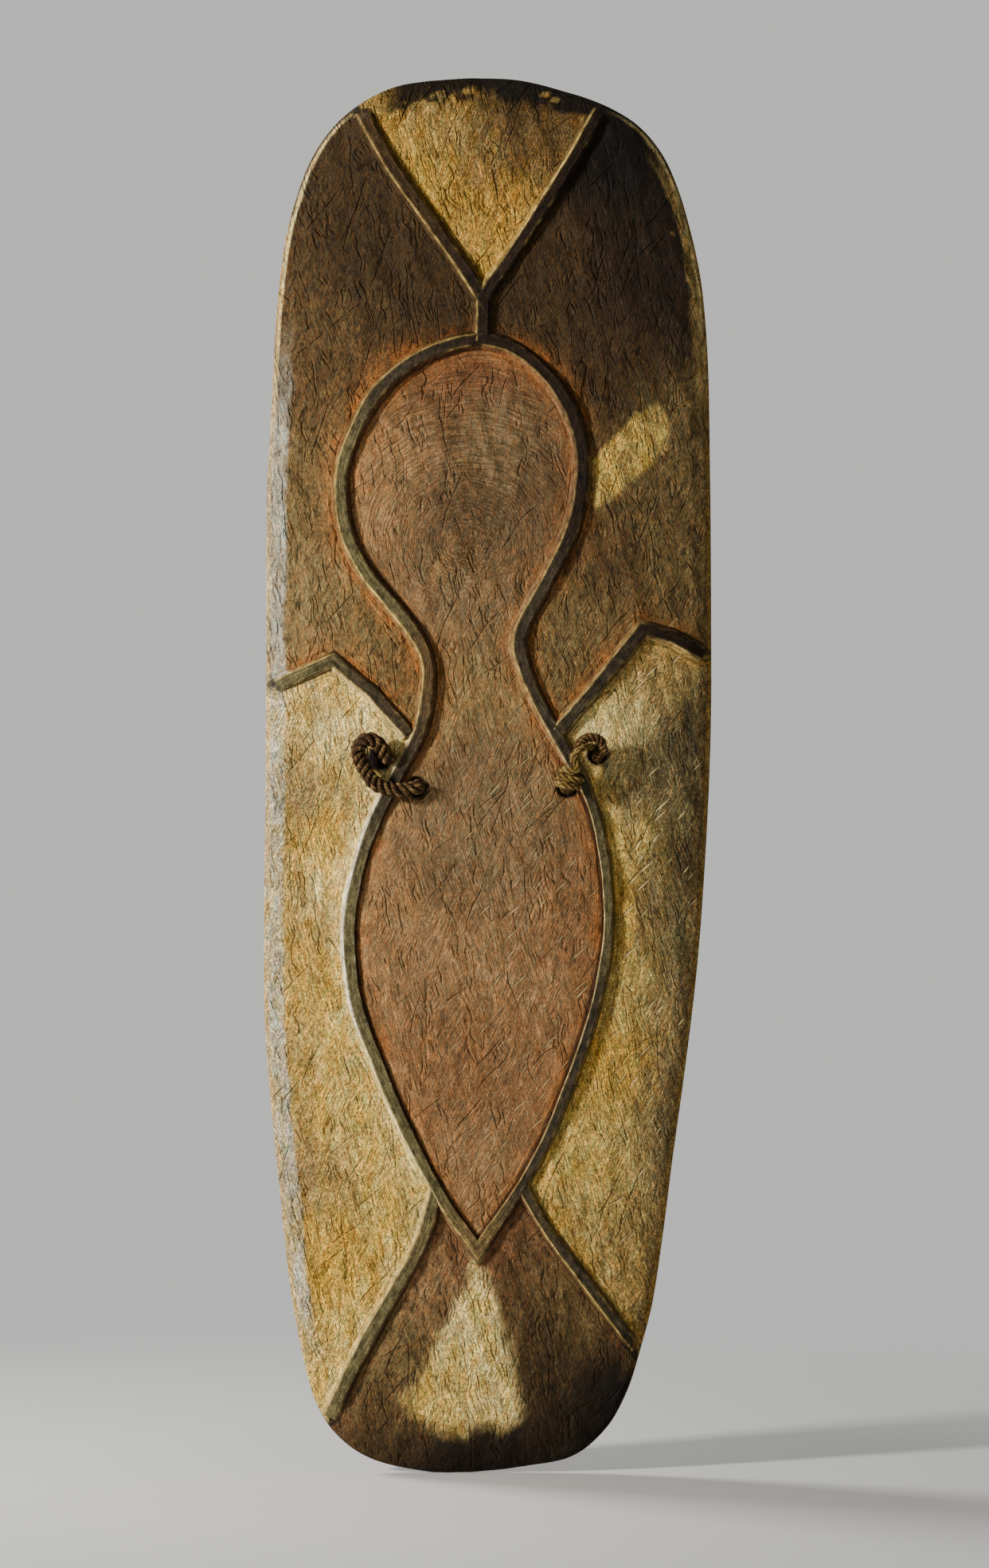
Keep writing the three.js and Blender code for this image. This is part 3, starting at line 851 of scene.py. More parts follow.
def plank_rings():
    """Rings as x and z: the face from the spine outwards with close rings on the bevel, and
    the back from the rim inwards. The third value is how far out the back's points lie, as
    a share of the way from the spine to the rim."""
    opposite = np.roll(rim_line[::-1], 1, axis=0)
    level = np.clip((rim_line[:, 1] + opposite[:, 1]) / 2, -SPINE_REACH, SPINE_REACH)
    level = (level + np.roll(level[::-1], 1)) / 2
    spine = np.stack([np.zeros(AROUND), level], axis=1)
    reach = np.linalg.norm(rim_line - spine, axis=1)
    outward = (rim_line - spine) / reach[:, None]
    field = np.linspace(0, 1, FIELD_RINGS)[:-1, None] * (reach - BEVEL_STEPS[0])
    face = np.concatenate([field, reach - BEVEL_STEPS[:, None]])
    back = np.linspace(1, 0, BACK_RINGS)[:, None] * reach

    def places(out):
        return spine[None] + outward[None] * out[:, :, None]

    return places(face), places(back), back / reach


print(AROUND, "points round the rim,", FIELD_RINGS - 1 + len(BEVEL_STEPS), "rings on the face")

# %% [markdown]
# ## Carving
# The adze leaves shallow scoops side by side, all leaning one way. The wood beside a ridge
# was cut a little deeper than the rest of its field, which makes the ridge stand out. How
# much deeper differs from field to field: the figure is a sunken cushion that rises again
# in its body, and the foot lies deep beside its ridges. All of it is a depth for each place
# on the face, because a formula can be read and changed, and sculpted strokes can't.

# %% Carving
CARVED_DEEPER = {
    "figure": 1.6 * MM, "crest": 1.2 * MM, "foot": 1.8 * MM, "left_panel": 1.6 * MM,
    "right_panel": 1.0 * MM, "upper_left": 0.8 * MM, "upper_right": 0.8 * MM,
}
BESIDE_START = 6 * MM
BESIDE_WIDTH = 28 * MM
CUSHION = 1.6 * MM
CUSHION_WIDTH = 75 * MM
BODY_RISE = 3.2 * MM
ADZE_DEPTH = 5.0 * MM
ADZE_FINE = 1.0 * MM
ADZE_LEAN = (0.94, 0.34)
BACK_ADZE_DEPTH = 3 * MM
BACK_FLAT = 60 * MM
FACE_WAVER = 1.2 * MM
CHAMFER_WIDTH = 6 * MM
CHAMFER_DEPTH = 2.5 * MM
CHAMFER_SHARE = 1.5 * MM


def bevel_fall(to_rim):
    """How far the face falls back near the rim: a wide soft bevel and a narrow one."""
    wide = np.clip(1 - to_rim / BEVEL_WIDTH, 0, 1)
    narrow = np.clip(1 - to_rim / CHAMFER_WIDTH, 0, 1) ** 1.5
    return (BEVEL_DEPTH - CHAMFER_SHARE) * wide + CHAMFER_DEPTH * narrow


def to_nearest_ridge(x, z):
    """The distance to the middle line of the nearest ridge."""
    return np.min([distance_to_line(x, z, line) for line in COARSE_LINES.values()], axis=0)


def carve_face(x, z, to_rim):
    """Depth of the face: its curve, the bevel, adze cuts and the sinking by the ridges."""
    masks = field_masks(x, z)
    to_ridge = to_nearest_ridge(x, z)
    beside = np.clip(1 - (to_ridge - BESIDE_START) / BESIDE_WIDTH, 0, 1) ** 1.7
    depth = face_depth(x, z)
    depth += beside * sum(CARVED_DEEPER[name] * mask for name, mask in masks.items())
    depth += CUSHION * masks["figure"] * np.clip(1 - to_ridge / CUSHION_WIDTH, 0, 1) ** 2
    depth -= BODY_RISE * masks["figure"] * step_between(0.06 - z, 0, 0.14)
    upright, slant = ADZE_LEAN
    across, along = x * upright + z * slant, z * upright - x * slant
    cuts = scoops(across / (24 * MM), along / (46 * MM), 11)
    small = scoops(across / (12 * MM) + 7, along / (22 * MM) + 3, 12)
    quiet = np.clip((to_ridge - 7 * MM) / (12 * MM), 0.15, 1)
    depth -= (ADZE_DEPTH * (cuts - 0.3) + ADZE_FINE * (small - 0.3)) * quiet
    depth += FACE_WAVER * layered_noise(x / (90 * MM), z / (140 * MM), 31)
    waver = 1 + 0.3 * layered_noise(x / (30 * MM), z / (45 * MM), 5)
    return depth + bevel_fall(np.maximum(to_rim, 0) * waver)


def carve_back(x, z, out_share):
    """Depth of the back: the thinning plank with long adze cuts, flat in the middle."""
    taper = np.maximum(0, out_share - TAPER_START) / (1 - TAPER_START)
    thickness = PLANK_THICKNESS - (PLANK_THICKNESS - EDGE_THICKNESS) * taper**2
    cuts = scoops(x / (34 * MM) + 20, z / (75 * MM) + 9, 21)
    away = np.clip((np.hypot(x, z) - BACK_FLAT) / BACK_FLAT, 0, 1)
    fade = np.clip(6 - 6 * out_share, 0, 1)
    return face_depth(x, z) + thickness - BACK_ADZE_DEPTH * (cuts - 0.25) * away * fade


# %% [markdown]
# The face, a rounded rim and the back follow each other ring by ring in one closed skin.

# %% The closed skin
RIM_BULGE = 1.2 * MM
RIM_ROUNDING = ((0.12, 0.5), (0.35, 0.9), (0.65, 0.9), (0.88, 0.5))


def build_plank():
    """The closed skin: face rings, a rounded rim and back rings."""
    face, back, out_share = plank_rings()
    x, z = face[..., 0], face[..., 1]
    to_rim = distance_to_line(x, z, coarse_rim)
    to_rim[-1] = 0
    front = np.stack([x, carve_face(x, z, to_rim), z], axis=-1)
    bx, bz = back[..., 0], back[..., 1]
    rear = np.stack([bx, carve_back(bx, bz, out_share), bz], axis=-1)
    outward = face[-1] - face[-2]
    outward = outward / np.linalg.norm(outward, axis=1)[:, None]
    edge = []
    for share, bulge in RIM_ROUNDING:
        ring = front[-1] + (rear[0] - front[-1]) * share
        ring[:, [0, 2]] += outward * bulge * RIM_BULGE
        edge.append(ring)
    rings = np.concatenate([front, np.array(edge), rear])
    faces = grid_faces(len(rings), AROUND, closed=True)[:, ::-1]
    plank = mesh_object("plank", rings.reshape(-1, 3), faces)
    weld(plank)
    return plank


plank = build_plank()
print(len(plank.data.polygons), "faces in the skin of the plank")

# %% [markdown]
# ## Lacing holes
# Four holes go through the plank, a close fit on the rope, with mouths worn open by it.
# Each is cut with a turned shape: a radius at each depth, swept round the hole's axis. On
# the face the wear is shifted to the side that the rope leaves by.

# %% Lacing holes
HOLE_COLUMNS = 44
HOLE_PROFILE = MM * np.array([
    [0, -60], [15, -60], [14.2, -22], [13.2, -20.6], [11.6, -18.6], [9.8, -16.4], [8.6, -14],
    [8.3, -10], [8.5, -6], [9.3, -3.2], [10.8, -1.4], [12.6, -0.2], [14.5, 1.5], [15, 40], [0, 40],
])
MOUTH_SHARE = np.array([1, 1, 1, 1, 0.75, 0.4, 0.1, 0, 0, 0, 0, 0, 0, 0, 0])
MOUTH_SHIFT = {
    "upper_left": (-9 * MM, -1 * MM),
    "upper_right": (0.5 * MM, 4 * MM),
    "lower_left": (-1 * MM, 0),
    "lower_right": (1 * MM, 0),
}


def hole_shape(name):
    """The profile swept round the y axis, its centre shifted to the side near the face."""
    angle = np.linspace(0, 2 * math.pi, HOLE_COLUMNS, endpoint=False)
    radius, depth = HOLE_PROFILE[:, 0, None], HOLE_PROFILE[:, 1, None] + 0 * angle
    centre = np.array(HOLES[name]) + MOUTH_SHARE[:, None] * np.array(MOUTH_SHIFT[name])
    x = centre[:, :1] + radius * np.cos(angle)
    z = centre[:, 1:] + radius * np.sin(angle)
    return np.stack([x, depth, z], axis=-1).reshape(-1, 3)


def cut_holes(piece):
    """Takes the four turned shapes out of the piece."""
    shapes = [hole_shape(name) for name in HOLES]
    faces = grid_faces(len(HOLE_PROFILE), HOLE_COLUMNS, closed=True)
    faces = np.concatenate([faces + k * len(shapes[0]) for k in range(len(shapes))])
    drill = mesh_object("drill", np.concatenate(shapes), faces)
    weld(drill)
    close_ends(drill)
    cut = piece.modifiers.new("cut", "BOOLEAN")
    cut.operation = "DIFFERENCE"
    cut.solver = "EXACT"
    cut.object = drill
    bpy.context.view_layer.update()
    evaluated = piece.evaluated_get(bpy.context.evaluated_depsgraph_get())
    result = bpy.data.meshes.new_from_object(evaluated)
    piece.modifiers.clear()
    piece.data = result
    bpy.data.objects.remove(drill)


cut_holes(plank)
fix_to_board(plank, "shield_plank")
print(len(plank.data.polygons), "faces after drilling")

# %% [markdown]
# ## Ridges
# A ridge is what was left standing when the wood beside it was cut away: a flat crown with
# sloping sides. Knife and hand left it uneven, so its line, width and height waver, and
# its edges are worn round. The figure is one closed ridge with a sharp corner at the
# bottom, and at a corner the section is mitred so that it keeps its width.

# %% Ridge lines with corners
RIDGE_HALF = MM * np.array([
    [0.9, 5.8], [2.6, 5.9], [4, 6.1], [4.9, 6.15], [5.6, 5.95], [6.3, 5.3], [7.1, 4.2],
    [8.1, 2.6], [9.1, 0.8], [10.2, -1.2], [11.6, -3.6], [12.8, -6],
])
RIDGE_SECTION = np.vstack([RIDGE_HALF[::-1] * [-1, 1], RIDGE_HALF])
FLANK_START = 5.6 * MM
STEEP_SHARE = 0.85
RIDGE_STEP = 2.2 * MM
RIM_GAP = 3 * MM
MITRE_GAPS = {"figure": 14 * MM, "crest": 13 * MM, "arm_left": 7 * MM, "arm_right": 7 * MM}
CLOSED_RIDGE = "figure"


def sides_of(line, closed):
    """Directions across a line at each point, lengthened where the line turns."""
    ahead = np.roll(line, -1, axis=0) - line
    if not closed:
        ahead[-1] = ahead[-2]
    ahead /= np.linalg.norm(ahead, axis=1)[:, None]
    behind = np.roll(ahead, 1, axis=0)
    if not closed:
        behind[0] = ahead[0]
    side_ahead = np.stack([-ahead[:, 1], ahead[:, 0]], axis=1)
    side_behind = np.stack([-behind[:, 1], behind[:, 0]], axis=1)
    middle = side_ahead + side_behind
    middle /= np.linalg.norm(middle, axis=1)[:, None]
    return middle / np.sum(middle * side_behind, axis=1)[:, None]


def cornered_line(stretches, gap):
    """Joins smooth or straight stretches with nothing closer to a corner than the gap
    that its mitre needs."""
    rows = []
    for k, stretch in enumerate(stretches):
        count = max(int(line_length(stretch) / RIDGE_STEP), 3)
        stretch = even_steps(stretch, count)
        if k > 0:
            far = np.linalg.norm(stretch - stretch[0], axis=1) > gap
            far[0] = True
            stretch = stretch[far][1:] if rows else stretch[far]
        if k < len(stretches) - 1:
            far = np.linalg.norm(stretch - stretch[-1], axis=1) > gap
            far[-1] = True
            stretch = stretch[far]
        rows.append(stretch)
    return np.vstack(rows)


def straight_stretches(name):
    """The lines between the points of a ridge, one by one."""
    points = RIDGE_LINES[name]
    return [points[k : k + 2] for k in range(len(points) - 1)]


def ridge_rows(name, stretches):
    """The rows of a ridge. A closed one leaves out the last, which is the first again, and
    an open one keeps only the rows that lie well inside the rim."""
    rows = cornered_line(stretches, MITRE_GAPS.get(name, 0))
    if name == CLOSED_RIDGE:
        return rows[:-1]
    x, z = rows.T
    return rows[inside(x, z, rim_line) & (distance_to_line(x, z, coarse_rim) > RIM_GAP)]


RIDGE_STRETCHES = {
    "figure": [RIDGE_LINES["figure_left"], RIDGE_LINES["figure_right"][::-1]],
    "crest": [RIDGE_LINES["crest_left"], RIDGE_LINES["crest_right"][::-1]],
    "neck": [RIDGE_LINES["neck"]],
    "arm_left": straight_stretches("arm_left"),
    "arm_right": straight_stretches("arm_right"),
    "leg_left": [RIDGE_LINES["leg_left"]],
    "leg_right": [RIDGE_LINES["leg_right"]],
}
RIDGE_ROWS = {name: ridge_rows(name, stretches) for name, stretches in RIDGE_STRETCHES.items()}
print({name: len(rows) for name, rows in RIDGE_ROWS.items()}, "rows of the ridges")

# %% [markdown]
# ## Paint
# Earth colours were rubbed into the fields: chalk and yellow clay in the crest, the panels
# and the wedge of the foot, red ochre in the figure, soot in the upper fields and at the
# ends. Their tones are named here. Each field has a list of the places where one of them
# is thickest. Beside its ridges a field has a halo of one pigment: its name, its reach in
# millimetres and its strength.


# %% Pigments
def linear(code):
    """A colour written as six hexadecimal digits, as linear light."""
    value = np.array([int(code[k : k + 2], 16) for k in (0, 2, 4)]) / 255
    return np.where(value <= 0.04045, value / 12.92, ((value + 0.055) / 1.055) ** 2.4)


PIGMENTS = {
    "soot": "120C07", "char": "241910", "umber": "3E2E1A", "earth": "594429", "olive": "6F5B38",
    "drab": "836C45", "clay": "9E834C", "ochre": "AA8640", "gold": "BC9640", "chalk": "C8AA5E",
    "cream": "E2CB8A", "lime": "EDE4C6", "ash": "B0AC9C", "russet": "6F4C31",
    "rust": "9C602B", "rose": "82603F", "brown": "765F42", "tan": "8D6D49", "bark": "5E4A33",
    "moss": "5C5436", "dusk": "3A3224", "dun": "7F6D4E",
}
FIELDS = {
    "figure": [
        (590, 450, "russet"), (465, 600, "tan"), (590, 640, "bark"), (620, 560, "brown"),
        (690, 600, "bark"), (595, 760, "brown"), (600, 880, "drab"), (600, 960, "brown"),
        (590, 1100, "brown"), (600, 1200, "tan"), (465, 1170, "tan"), (740, 1160, "rose"),
        (590, 1330, "rose"), (595, 1510, "tan"),
    ],
    "crest": [
        (520, 190, "ochre"), (640, 140, "umber"), (530, 240, "gold"), (690, 190, "earth"),
        (610, 310, "ochre"), (640, 250, "ochre"), (600, 200, "drab"), (555, 150, "clay"),
        (650, 190, "earth"),
    ],
    "foot": [
        (520, 1590, "tan"), (480, 1690, "olive"), (450, 1790, "earth"), (600, 1560, "russet"),
        (680, 1600, "earth"), (700, 1680, "umber"), (765, 1745, "soot"), (600, 1830, "char"),
        (725, 1640, "olive"),
    ],
    "left_panel": [
        (400, 850, "clay"), (420, 910, "cream"), (375, 930, "clay"), (370, 1010, "drab"),
        (415, 1060, "gold"), (430, 1110, "cream"), (395, 1150, "clay"), (425, 1210, "gold"),
        (425, 1300, "chalk"), (370, 1300, "clay"), (450, 1420, "chalk"), (390, 1480, "drab"),
        (420, 1580, "gold"), (400, 1720, "chalk"), (480, 1520, "chalk"), (350, 1420, "clay"),
    ],
    "right_panel": [
        (800, 850, "clay"), (755, 910, "cream"), (783, 1050, "chalk"), (825, 1000, "dun"),
        (868, 1080, "dusk"), (860, 940, "dusk"), (785, 1240, "chalk"), (850, 1250, "dun"),
        (760, 1430, "chalk"), (830, 1430, "dun"), (870, 1400, "moss"), (780, 1600, "clay"),
        (775, 1140, "gold"), (825, 1140, "dun"), (790, 1340, "gold"), (850, 1010, "moss"),
        (862, 1170, "moss"), (845, 1340, "dun"),
    ],
    "upper_left": [
        (430, 200, "umber"), (480, 320, "umber"), (540, 370, "umber"), (385, 450, "earth"),
        (375, 620, "olive"), (400, 760, "drab"), (470, 780, "olive"),
    ],
    "upper_right": [
        (770, 190, "soot"), (690, 340, "umber"), (830, 350, "char"), (760, 460, "umber"),
        (850, 560, "olive"), (760, 700, "earth"), (720, 800, "olive"), (850, 700, "olive"),
    ],
}
HALOS = {
    "figure": ("rust", 10, 0.6), "crest": ("clay", 5, 0.4), "foot": ("russet", 8, 0.6),
    "left_panel": ("cream", 10, 0.95), "right_panel": ("gold", 6, 0.5),
    "upper_left": ("rust", 11, 0.85), "upper_right": ("rust", 8, 0.75),
}
PATCHINESS = {
    "figure": 0.7, "crest": 1.6, "foot": 1.2, "left_panel": 2.2, "right_panel": 1.5,
    "upper_left": 1.2, "upper_right": 1.2,
}


# %% [markdown]
# Between the places of the lists the pigments lie in patches, because they were rubbed on
# by hand and have worn since. A plain mean of them would look sprayed on.

# %% Mixing the pigments
SPOT_REACH = 35 * MM
PATCH_WIDTH = 9 * MM
PATCH_LENGTH = 30 * MM


def mean_of_spots(x, z, spots, patches=0.0):
    """Mean of pigments, each weighted by one over the fourth power of its distance. With
    patches above 0 the weights waver too, so that one pigment takes over from another in
    ragged patches."""
    total = np.zeros(x.shape + (3,))
    weights = np.zeros(x.shape)
    for k, (pixel_x, pixel_y, pigment) in enumerate(spots):
        sx, sz = from_photo(pixel_x, pixel_y)
        weight = 1 / ((x - sx) ** 2 + (z - sz) ** 2 + SPOT_REACH**2) ** 2
        if patches > 0:
            wavering = layered_noise(x / PATCH_WIDTH + 9 * k, z / PATCH_LENGTH, 200 + k)
            weight = weight * np.exp(patches * wavering)
        total += weight[..., None] * linear(PIGMENTS[pigment])
        weights += weight
    return total / weights[..., None]


def mixed(first, second, share):
    """The first colour carried to the second by a share for each place."""
    return first + (second - first) * share[..., None]


def toward(colour, pigment, share):
    """The colour carried towards a pigment by a share that differs from place to place."""
    return mixed(colour, linear(PIGMENTS[pigment]) + 0 * colour, np.clip(share, 0, 1))


# %% [markdown]
# The wedge in the foot and the pale patch high on the right are painted shapes without
# ridges round them, so their borders are ragged. Each is an outline, and how far inside it
# a place lies is read at a place pushed aside by noise. Small pale flecks are left in the
# soot of the top edge and at the right rim, each with its radius in pixels.

# %% Shapes without ridges
WEDGE = [
    (596, 1572), (612, 1600), (630, 1660), (642, 1720), (655, 1775), (628, 1795), (560, 1800),
    (515, 1785), (510, 1755), (540, 1700), (565, 1640), (582, 1600),
]
PATCH = [
    (743, 577), (799, 521), (828, 505), (838, 520), (838, 566), (784, 613), (766, 634), (745, 640),
]
FLECKS = [
    (550, 119, 6), (566, 125, 4), (590, 113, 7), (604, 119, 4), (685, 118, 5), (696, 125, 3),
    (450, 826, 3), (842, 292, 3), (862, 505, 4),
]
FLECK_WIDENED = 1.7


def depth_inside(x, z, pixels):
    """Distance to the outline of a shape given in pixels, positive inside it."""
    border = np.array([from_photo(*pixel) for pixel in pixels])
    gap = distance_to_line(x, z, np.vstack([border, border[:1]]))
    return np.where(inside(x, z, border), gap, -gap)


def pushed(x, z, size, seed, reach):
    """The place pushed aside by noise of the given size, up to the reach."""
    u, v = x / size, z / size
    dx = layered_noise(u, v, seed)
    dz = layered_noise(u + 40, v, seed)
    return x + reach * dx, z + reach * dz


def flecks(x, z):
    """1 on a fleck and 0 off it: ragged spots of a few millimetres."""
    x, z = pushed(x, z, 7 * MM, 121, 5 * MM)
    share = np.zeros(x.shape)
    for pixel_x, pixel_y, radius in FLECKS:
        sx, sz = from_photo(pixel_x, pixel_y)
        size = radius * METRES_PER_PIXEL
        away = np.hypot((x - sx) / FLECK_WIDENED, z - sz)
        share = np.maximum(share, step_between(-away, -size, -0.6 * size))
    return share


# %% [markdown]
# ## Laying the paint
# The layers follow each other as they would on a real shield: the pigments of the fields,
# the halos beside the ridges, the wedge and the patch, the soot of the ends, the worn bevel
# and the flecks. On the bevel a painted highlight lies on the left and near the top. One
# function works them out for any places that it is given, so the plank and the slopes of
# the ridges get the same paint and meet without a seam.

# %% Laying the paint
WEDGE_PIGMENTS = [(600, 1640, "cream"), (550, 1760, "chalk"), (620, 1750, "cream")]
WEDGE_PATCHINESS = 2.2
WEDGE_BORDER = (-11 * MM, 14 * MM)
PATCH_BORDER = (-2 * MM, 3.5 * MM)
HALO_START = 9 * MM
HALO_TOP = 0.5
TOP_SOOT = (17 * MM, 33 * MM)
SOOT_RUNS = 15 * MM
STREAK_LENGTH = 30 * MM
WORN_AND_HIGHLIGHT_BAND = (19 * MM, 23 * MM)
RIGHT_STRIP = (12 * MM, 14 * MM)


def paint(x, z, to_ridge, to_rim):
    """Colour of the face at each place, and how chalky and how red the pigment is."""
    masks = field_masks(x, z)
    colour = 0
    for name, mask in masks.items():
        colour = colour + mask[..., None] * mean_of_spots(x, z, FIELDS[name], PATCHINESS[name])
    wide = layered_noise(x / (14 * MM), z / (24 * MM), 71, 4)
    for name, mask in masks.items():
        pigment, reach, strength = HALOS[name]
        near = np.exp(-np.maximum(to_ridge - HALO_START, 0) / (reach * MM)) * (0.75 + 1.1 * wide)
        if name.startswith("upper"):
            near = near * step_between(HALO_TOP - z, 0, 0.06)
        colour = toward(colour, pigment, mask * np.clip(near, 0, 1) * strength)
    chalk = masks["crest"] + masks["left_panel"] + masks["right_panel"] * 0.9
    wx, wz = pushed(x, z, 24 * MM, 81, 11 * MM)
    wx, wz = pushed(wx, wz, 7 * MM, 82, 4 * MM)
    wedge = step_between(depth_inside(wx, wz, WEDGE), *WEDGE_BORDER) * masks["foot"]
    pale = mean_of_spots(x, z, WEDGE_PIGMENTS, WEDGE_PATCHINESS)
    colour = mixed(colour, pale, wedge * 0.92)
    px, pz = pushed(x, z, 9 * MM, 91, 3.5 * MM)
    patch = step_between(depth_inside(px, pz, PATCH), *PATCH_BORDER) * masks["upper_right"]
    colour = toward(colour, "chalk", patch * (0.72 + 0.35 * wide))
    colour = soot_at_ends(colour, x, z, to_rim)
    colour = bevel_colour(colour, x, z, to_rim)
    spots = flecks(x, z)
    colour = toward(colour, "clay", spots * 0.65)
    return colour, np.clip(chalk + wedge + patch + spots, 0, 1), masks["figure"]


def soot_at_ends(colour, x, z, to_rim):
    """Darkens the top edge, the bottom edge and the lower right corner, where the soot ends
    in ragged runs."""
    ragged = 1 + 0.6 * layered_noise(x / (20 * MM), z / (12 * MM), 101)
    runs = SOOT_RUNS * layered_noise(x / (6 * MM), z / (26 * MM), 105)
    top = 1 - step_between(to_rim + runs, *(limit * ragged for limit in TOP_SOOT))
    top = top * step_between(z, 0.66, 0.7) * step_between(x, -0.132, -0.09)
    streaks = STREAK_LENGTH * layered_noise(x / (9 * MM), z / (40 * MM), 104)
    low = step_between(-z + streaks, 0.68, 0.725) * step_between(x + 0.6 * (-z - 0.7), -0.18, -0.1)
    slant = x * 0.8 - z * 0.6 + streaks
    corner = step_between(slant, 0.475, 0.53) * step_between(-z, 0.55, 0.62)
    return toward(colour, "soot", np.maximum(np.maximum(top, low * 0.5), corner * 0.75) * 0.97)


def bevel_colour(colour, x, z, to_rim):
    """The bevel lost its paint to handling: pale on the left, where the pale is partly a painted
    highlight on the side that faces the light, olive on the right, and its outer edge is
    worn to ochre. Near the top the edge is painted cream, as a painted highlight."""
    ragged = 1 + 0.4 * layered_noise(x / (16 * MM), z / (26 * MM), 111)
    patchy = 0.75 + 0.5 * layered_noise(x / (12 * MM), z / (24 * MM), 113)
    scallops = 3.5 * MM * np.abs(value_noise(0 * z + 3, z / (30 * MM), 112))
    # Pale ash on the left bevel: worn paint, and partly a painted highlight where the bevel faces the
    # light.
    band = 1 - step_between(to_rim - 4 * MM * (ragged - 1) + scallops, *WORN_AND_HIGHLIGHT_BAND)
    sides = step_between(0.5 - z, 0, 0.14) * step_between(z + 0.66, 0, 0.12)
    colour = toward(colour, "ash", band * sides * (x < 0) * 0.95 * patchy)
    strip = 1 - step_between(to_rim, *(limit * ragged for limit in RIGHT_STRIP))
    right = strip * (x > 0) * step_between(0.66 - np.abs(z), 0, 0.05)
    colour = toward(colour, "olive", right * 0.75)
    high = strip * (x > 0) * step_between(z, 0.36, 0.5) * step_between(0.68 - z, 0, 0.06)
    colour = toward(colour, "clay", high * 0.8 * patchy)
    outer = (1 - step_between(to_rim, 2 * MM, 6 * MM)) * step_between(0.64 - np.abs(z), 0, 0.08)
    colour = toward(colour, "ochre", outer * 0.55)
    # A pale cream line near the top of the rim: a painted highlight.
    edge = 1 - step_between(np.abs(to_rim - 3 * MM), 0.5 * MM, 2.5 * MM * ragged)
    top_rim_highlight = step_between(z, 0.38, 0.5) * step_between(0.72 - z, 0, 0.03)
    return toward(colour, "cream", edge * top_rim_highlight * 0.85)


# %% [markdown]
# ## Paint on the plank
# The colours are worked out for each point of the finished skin, the holes' walls too, and
# kept as a colour attribute that the material reads. Further attributes say how chalky or
# red the pigment is, how far the nearest ridge is, whether the strokes go round the head,
# where the scratches are, and how far round to the bare back a point lies. The mouths of
# the holes are painted black: soot from the rope, and painted shade for the dark depth of
# the hole.


# %% Paint on the plank
# Reach of the black painted in each mouth: soot from the rope and painted shade of the hole.
MOUTH_SHADE_AND_SOOT = {
    "upper_left": 17 * MM, "upper_right": 15 * MM, "lower_left": 13.5 * MM, "lower_right": 14.5 * MM,
}
MOUTH_SHADE_BORDER = 4 * MM
BARE_DEPTH = (7 * MM, 12 * MM)
HEAD_START = (0.16, 0.24)


def vertex_places(piece):
    """The places of all points of a piece, as an array."""
    places = np.empty(len(piece.data.vertices) * 3, np.float32)
    piece.data.vertices.foreach_get("co", places)
    return places.reshape(-1, 3).astype(float)


def in_mouths(x, z):
    """1 in the mouths of the holes and 0 away from them."""
    share = np.zeros(x.shape)
    for name, (hole_x, hole_z) in HOLES.items():
        shift_x, shift_z = MOUTH_SHIFT[name]
        gap = np.hypot(x - hole_x - shift_x, z - hole_z - shift_z)
        edge = MOUTH_SHADE_AND_SOOT[name]
        share = np.maximum(share, 1 - step_between(gap, edge - MOUTH_SHADE_BORDER, edge))
    return share


def scratched(x, z, red):
    """Where pale scratches lie: on the right panel, and fainter on the figure's body."""
    panel = step_between(x, 0.1, 0.17) * step_between(0.2 - z, 0, 0.1) * step_between(z + 0.56, 0, 0.06)
    body = red * step_between(0.1 - z, 0, 0.1) * step_between(x, -0.1, 0.03)
    return np.maximum(panel, 0.4 * body)


def paint_plank(piece):
    """Works out the paint for every point, and keeps it with what the material reads."""
    x, y, z = vertex_places(piece).T
    to_ridge = to_nearest_ridge(x, z)
    colour, chalk, red = paint(x, z, to_ridge, distance_to_line(x, z, coarse_rim))
    bare = step_between(y - face_depth(x, z), *BARE_DEPTH)
    # The mouths are painted black: soot from the rope and painted shade of the hole's depth.
    colour_attribute(piece, "paint", toward(colour, "soot", in_mouths(x, z)))
    values = {
        "bare": bare, "chalk": chalk * (1 - bare), "red": red * (1 - bare),
        "scored": scratched(x, z, red) * (1 - bare), "ridge_gap": to_ridge / MM,
        "head": red * step_between(z, *HEAD_START),
    }
    for name, value in values.items():
        float_attribute(piece, name, value)


paint_plank(plank)
print(len(PIGMENTS), "pigments over", len(plank.data.vertices), "points")

# %% [markdown]
# ## The ridges' meshes
# The section is swept along each line. Towards the rim a ridge sinks into the bevel, and
# where it begins on another ridge it stands a little lower than that one.

# %% Ridge meshes
LOWERED = {
    "figure": 0, "crest": 0.12 * MM, "neck": 0.3 * MM, "arm_left": 0.4 * MM,
    "arm_right": 0.4 * MM, "leg_left": 0.35 * MM, "leg_right": 0.45 * MM,
}
SINKS_FROM = 16 * MM
SUNK_AT = 2 * MM
SUNK_DEPTH = 1.5 * MM


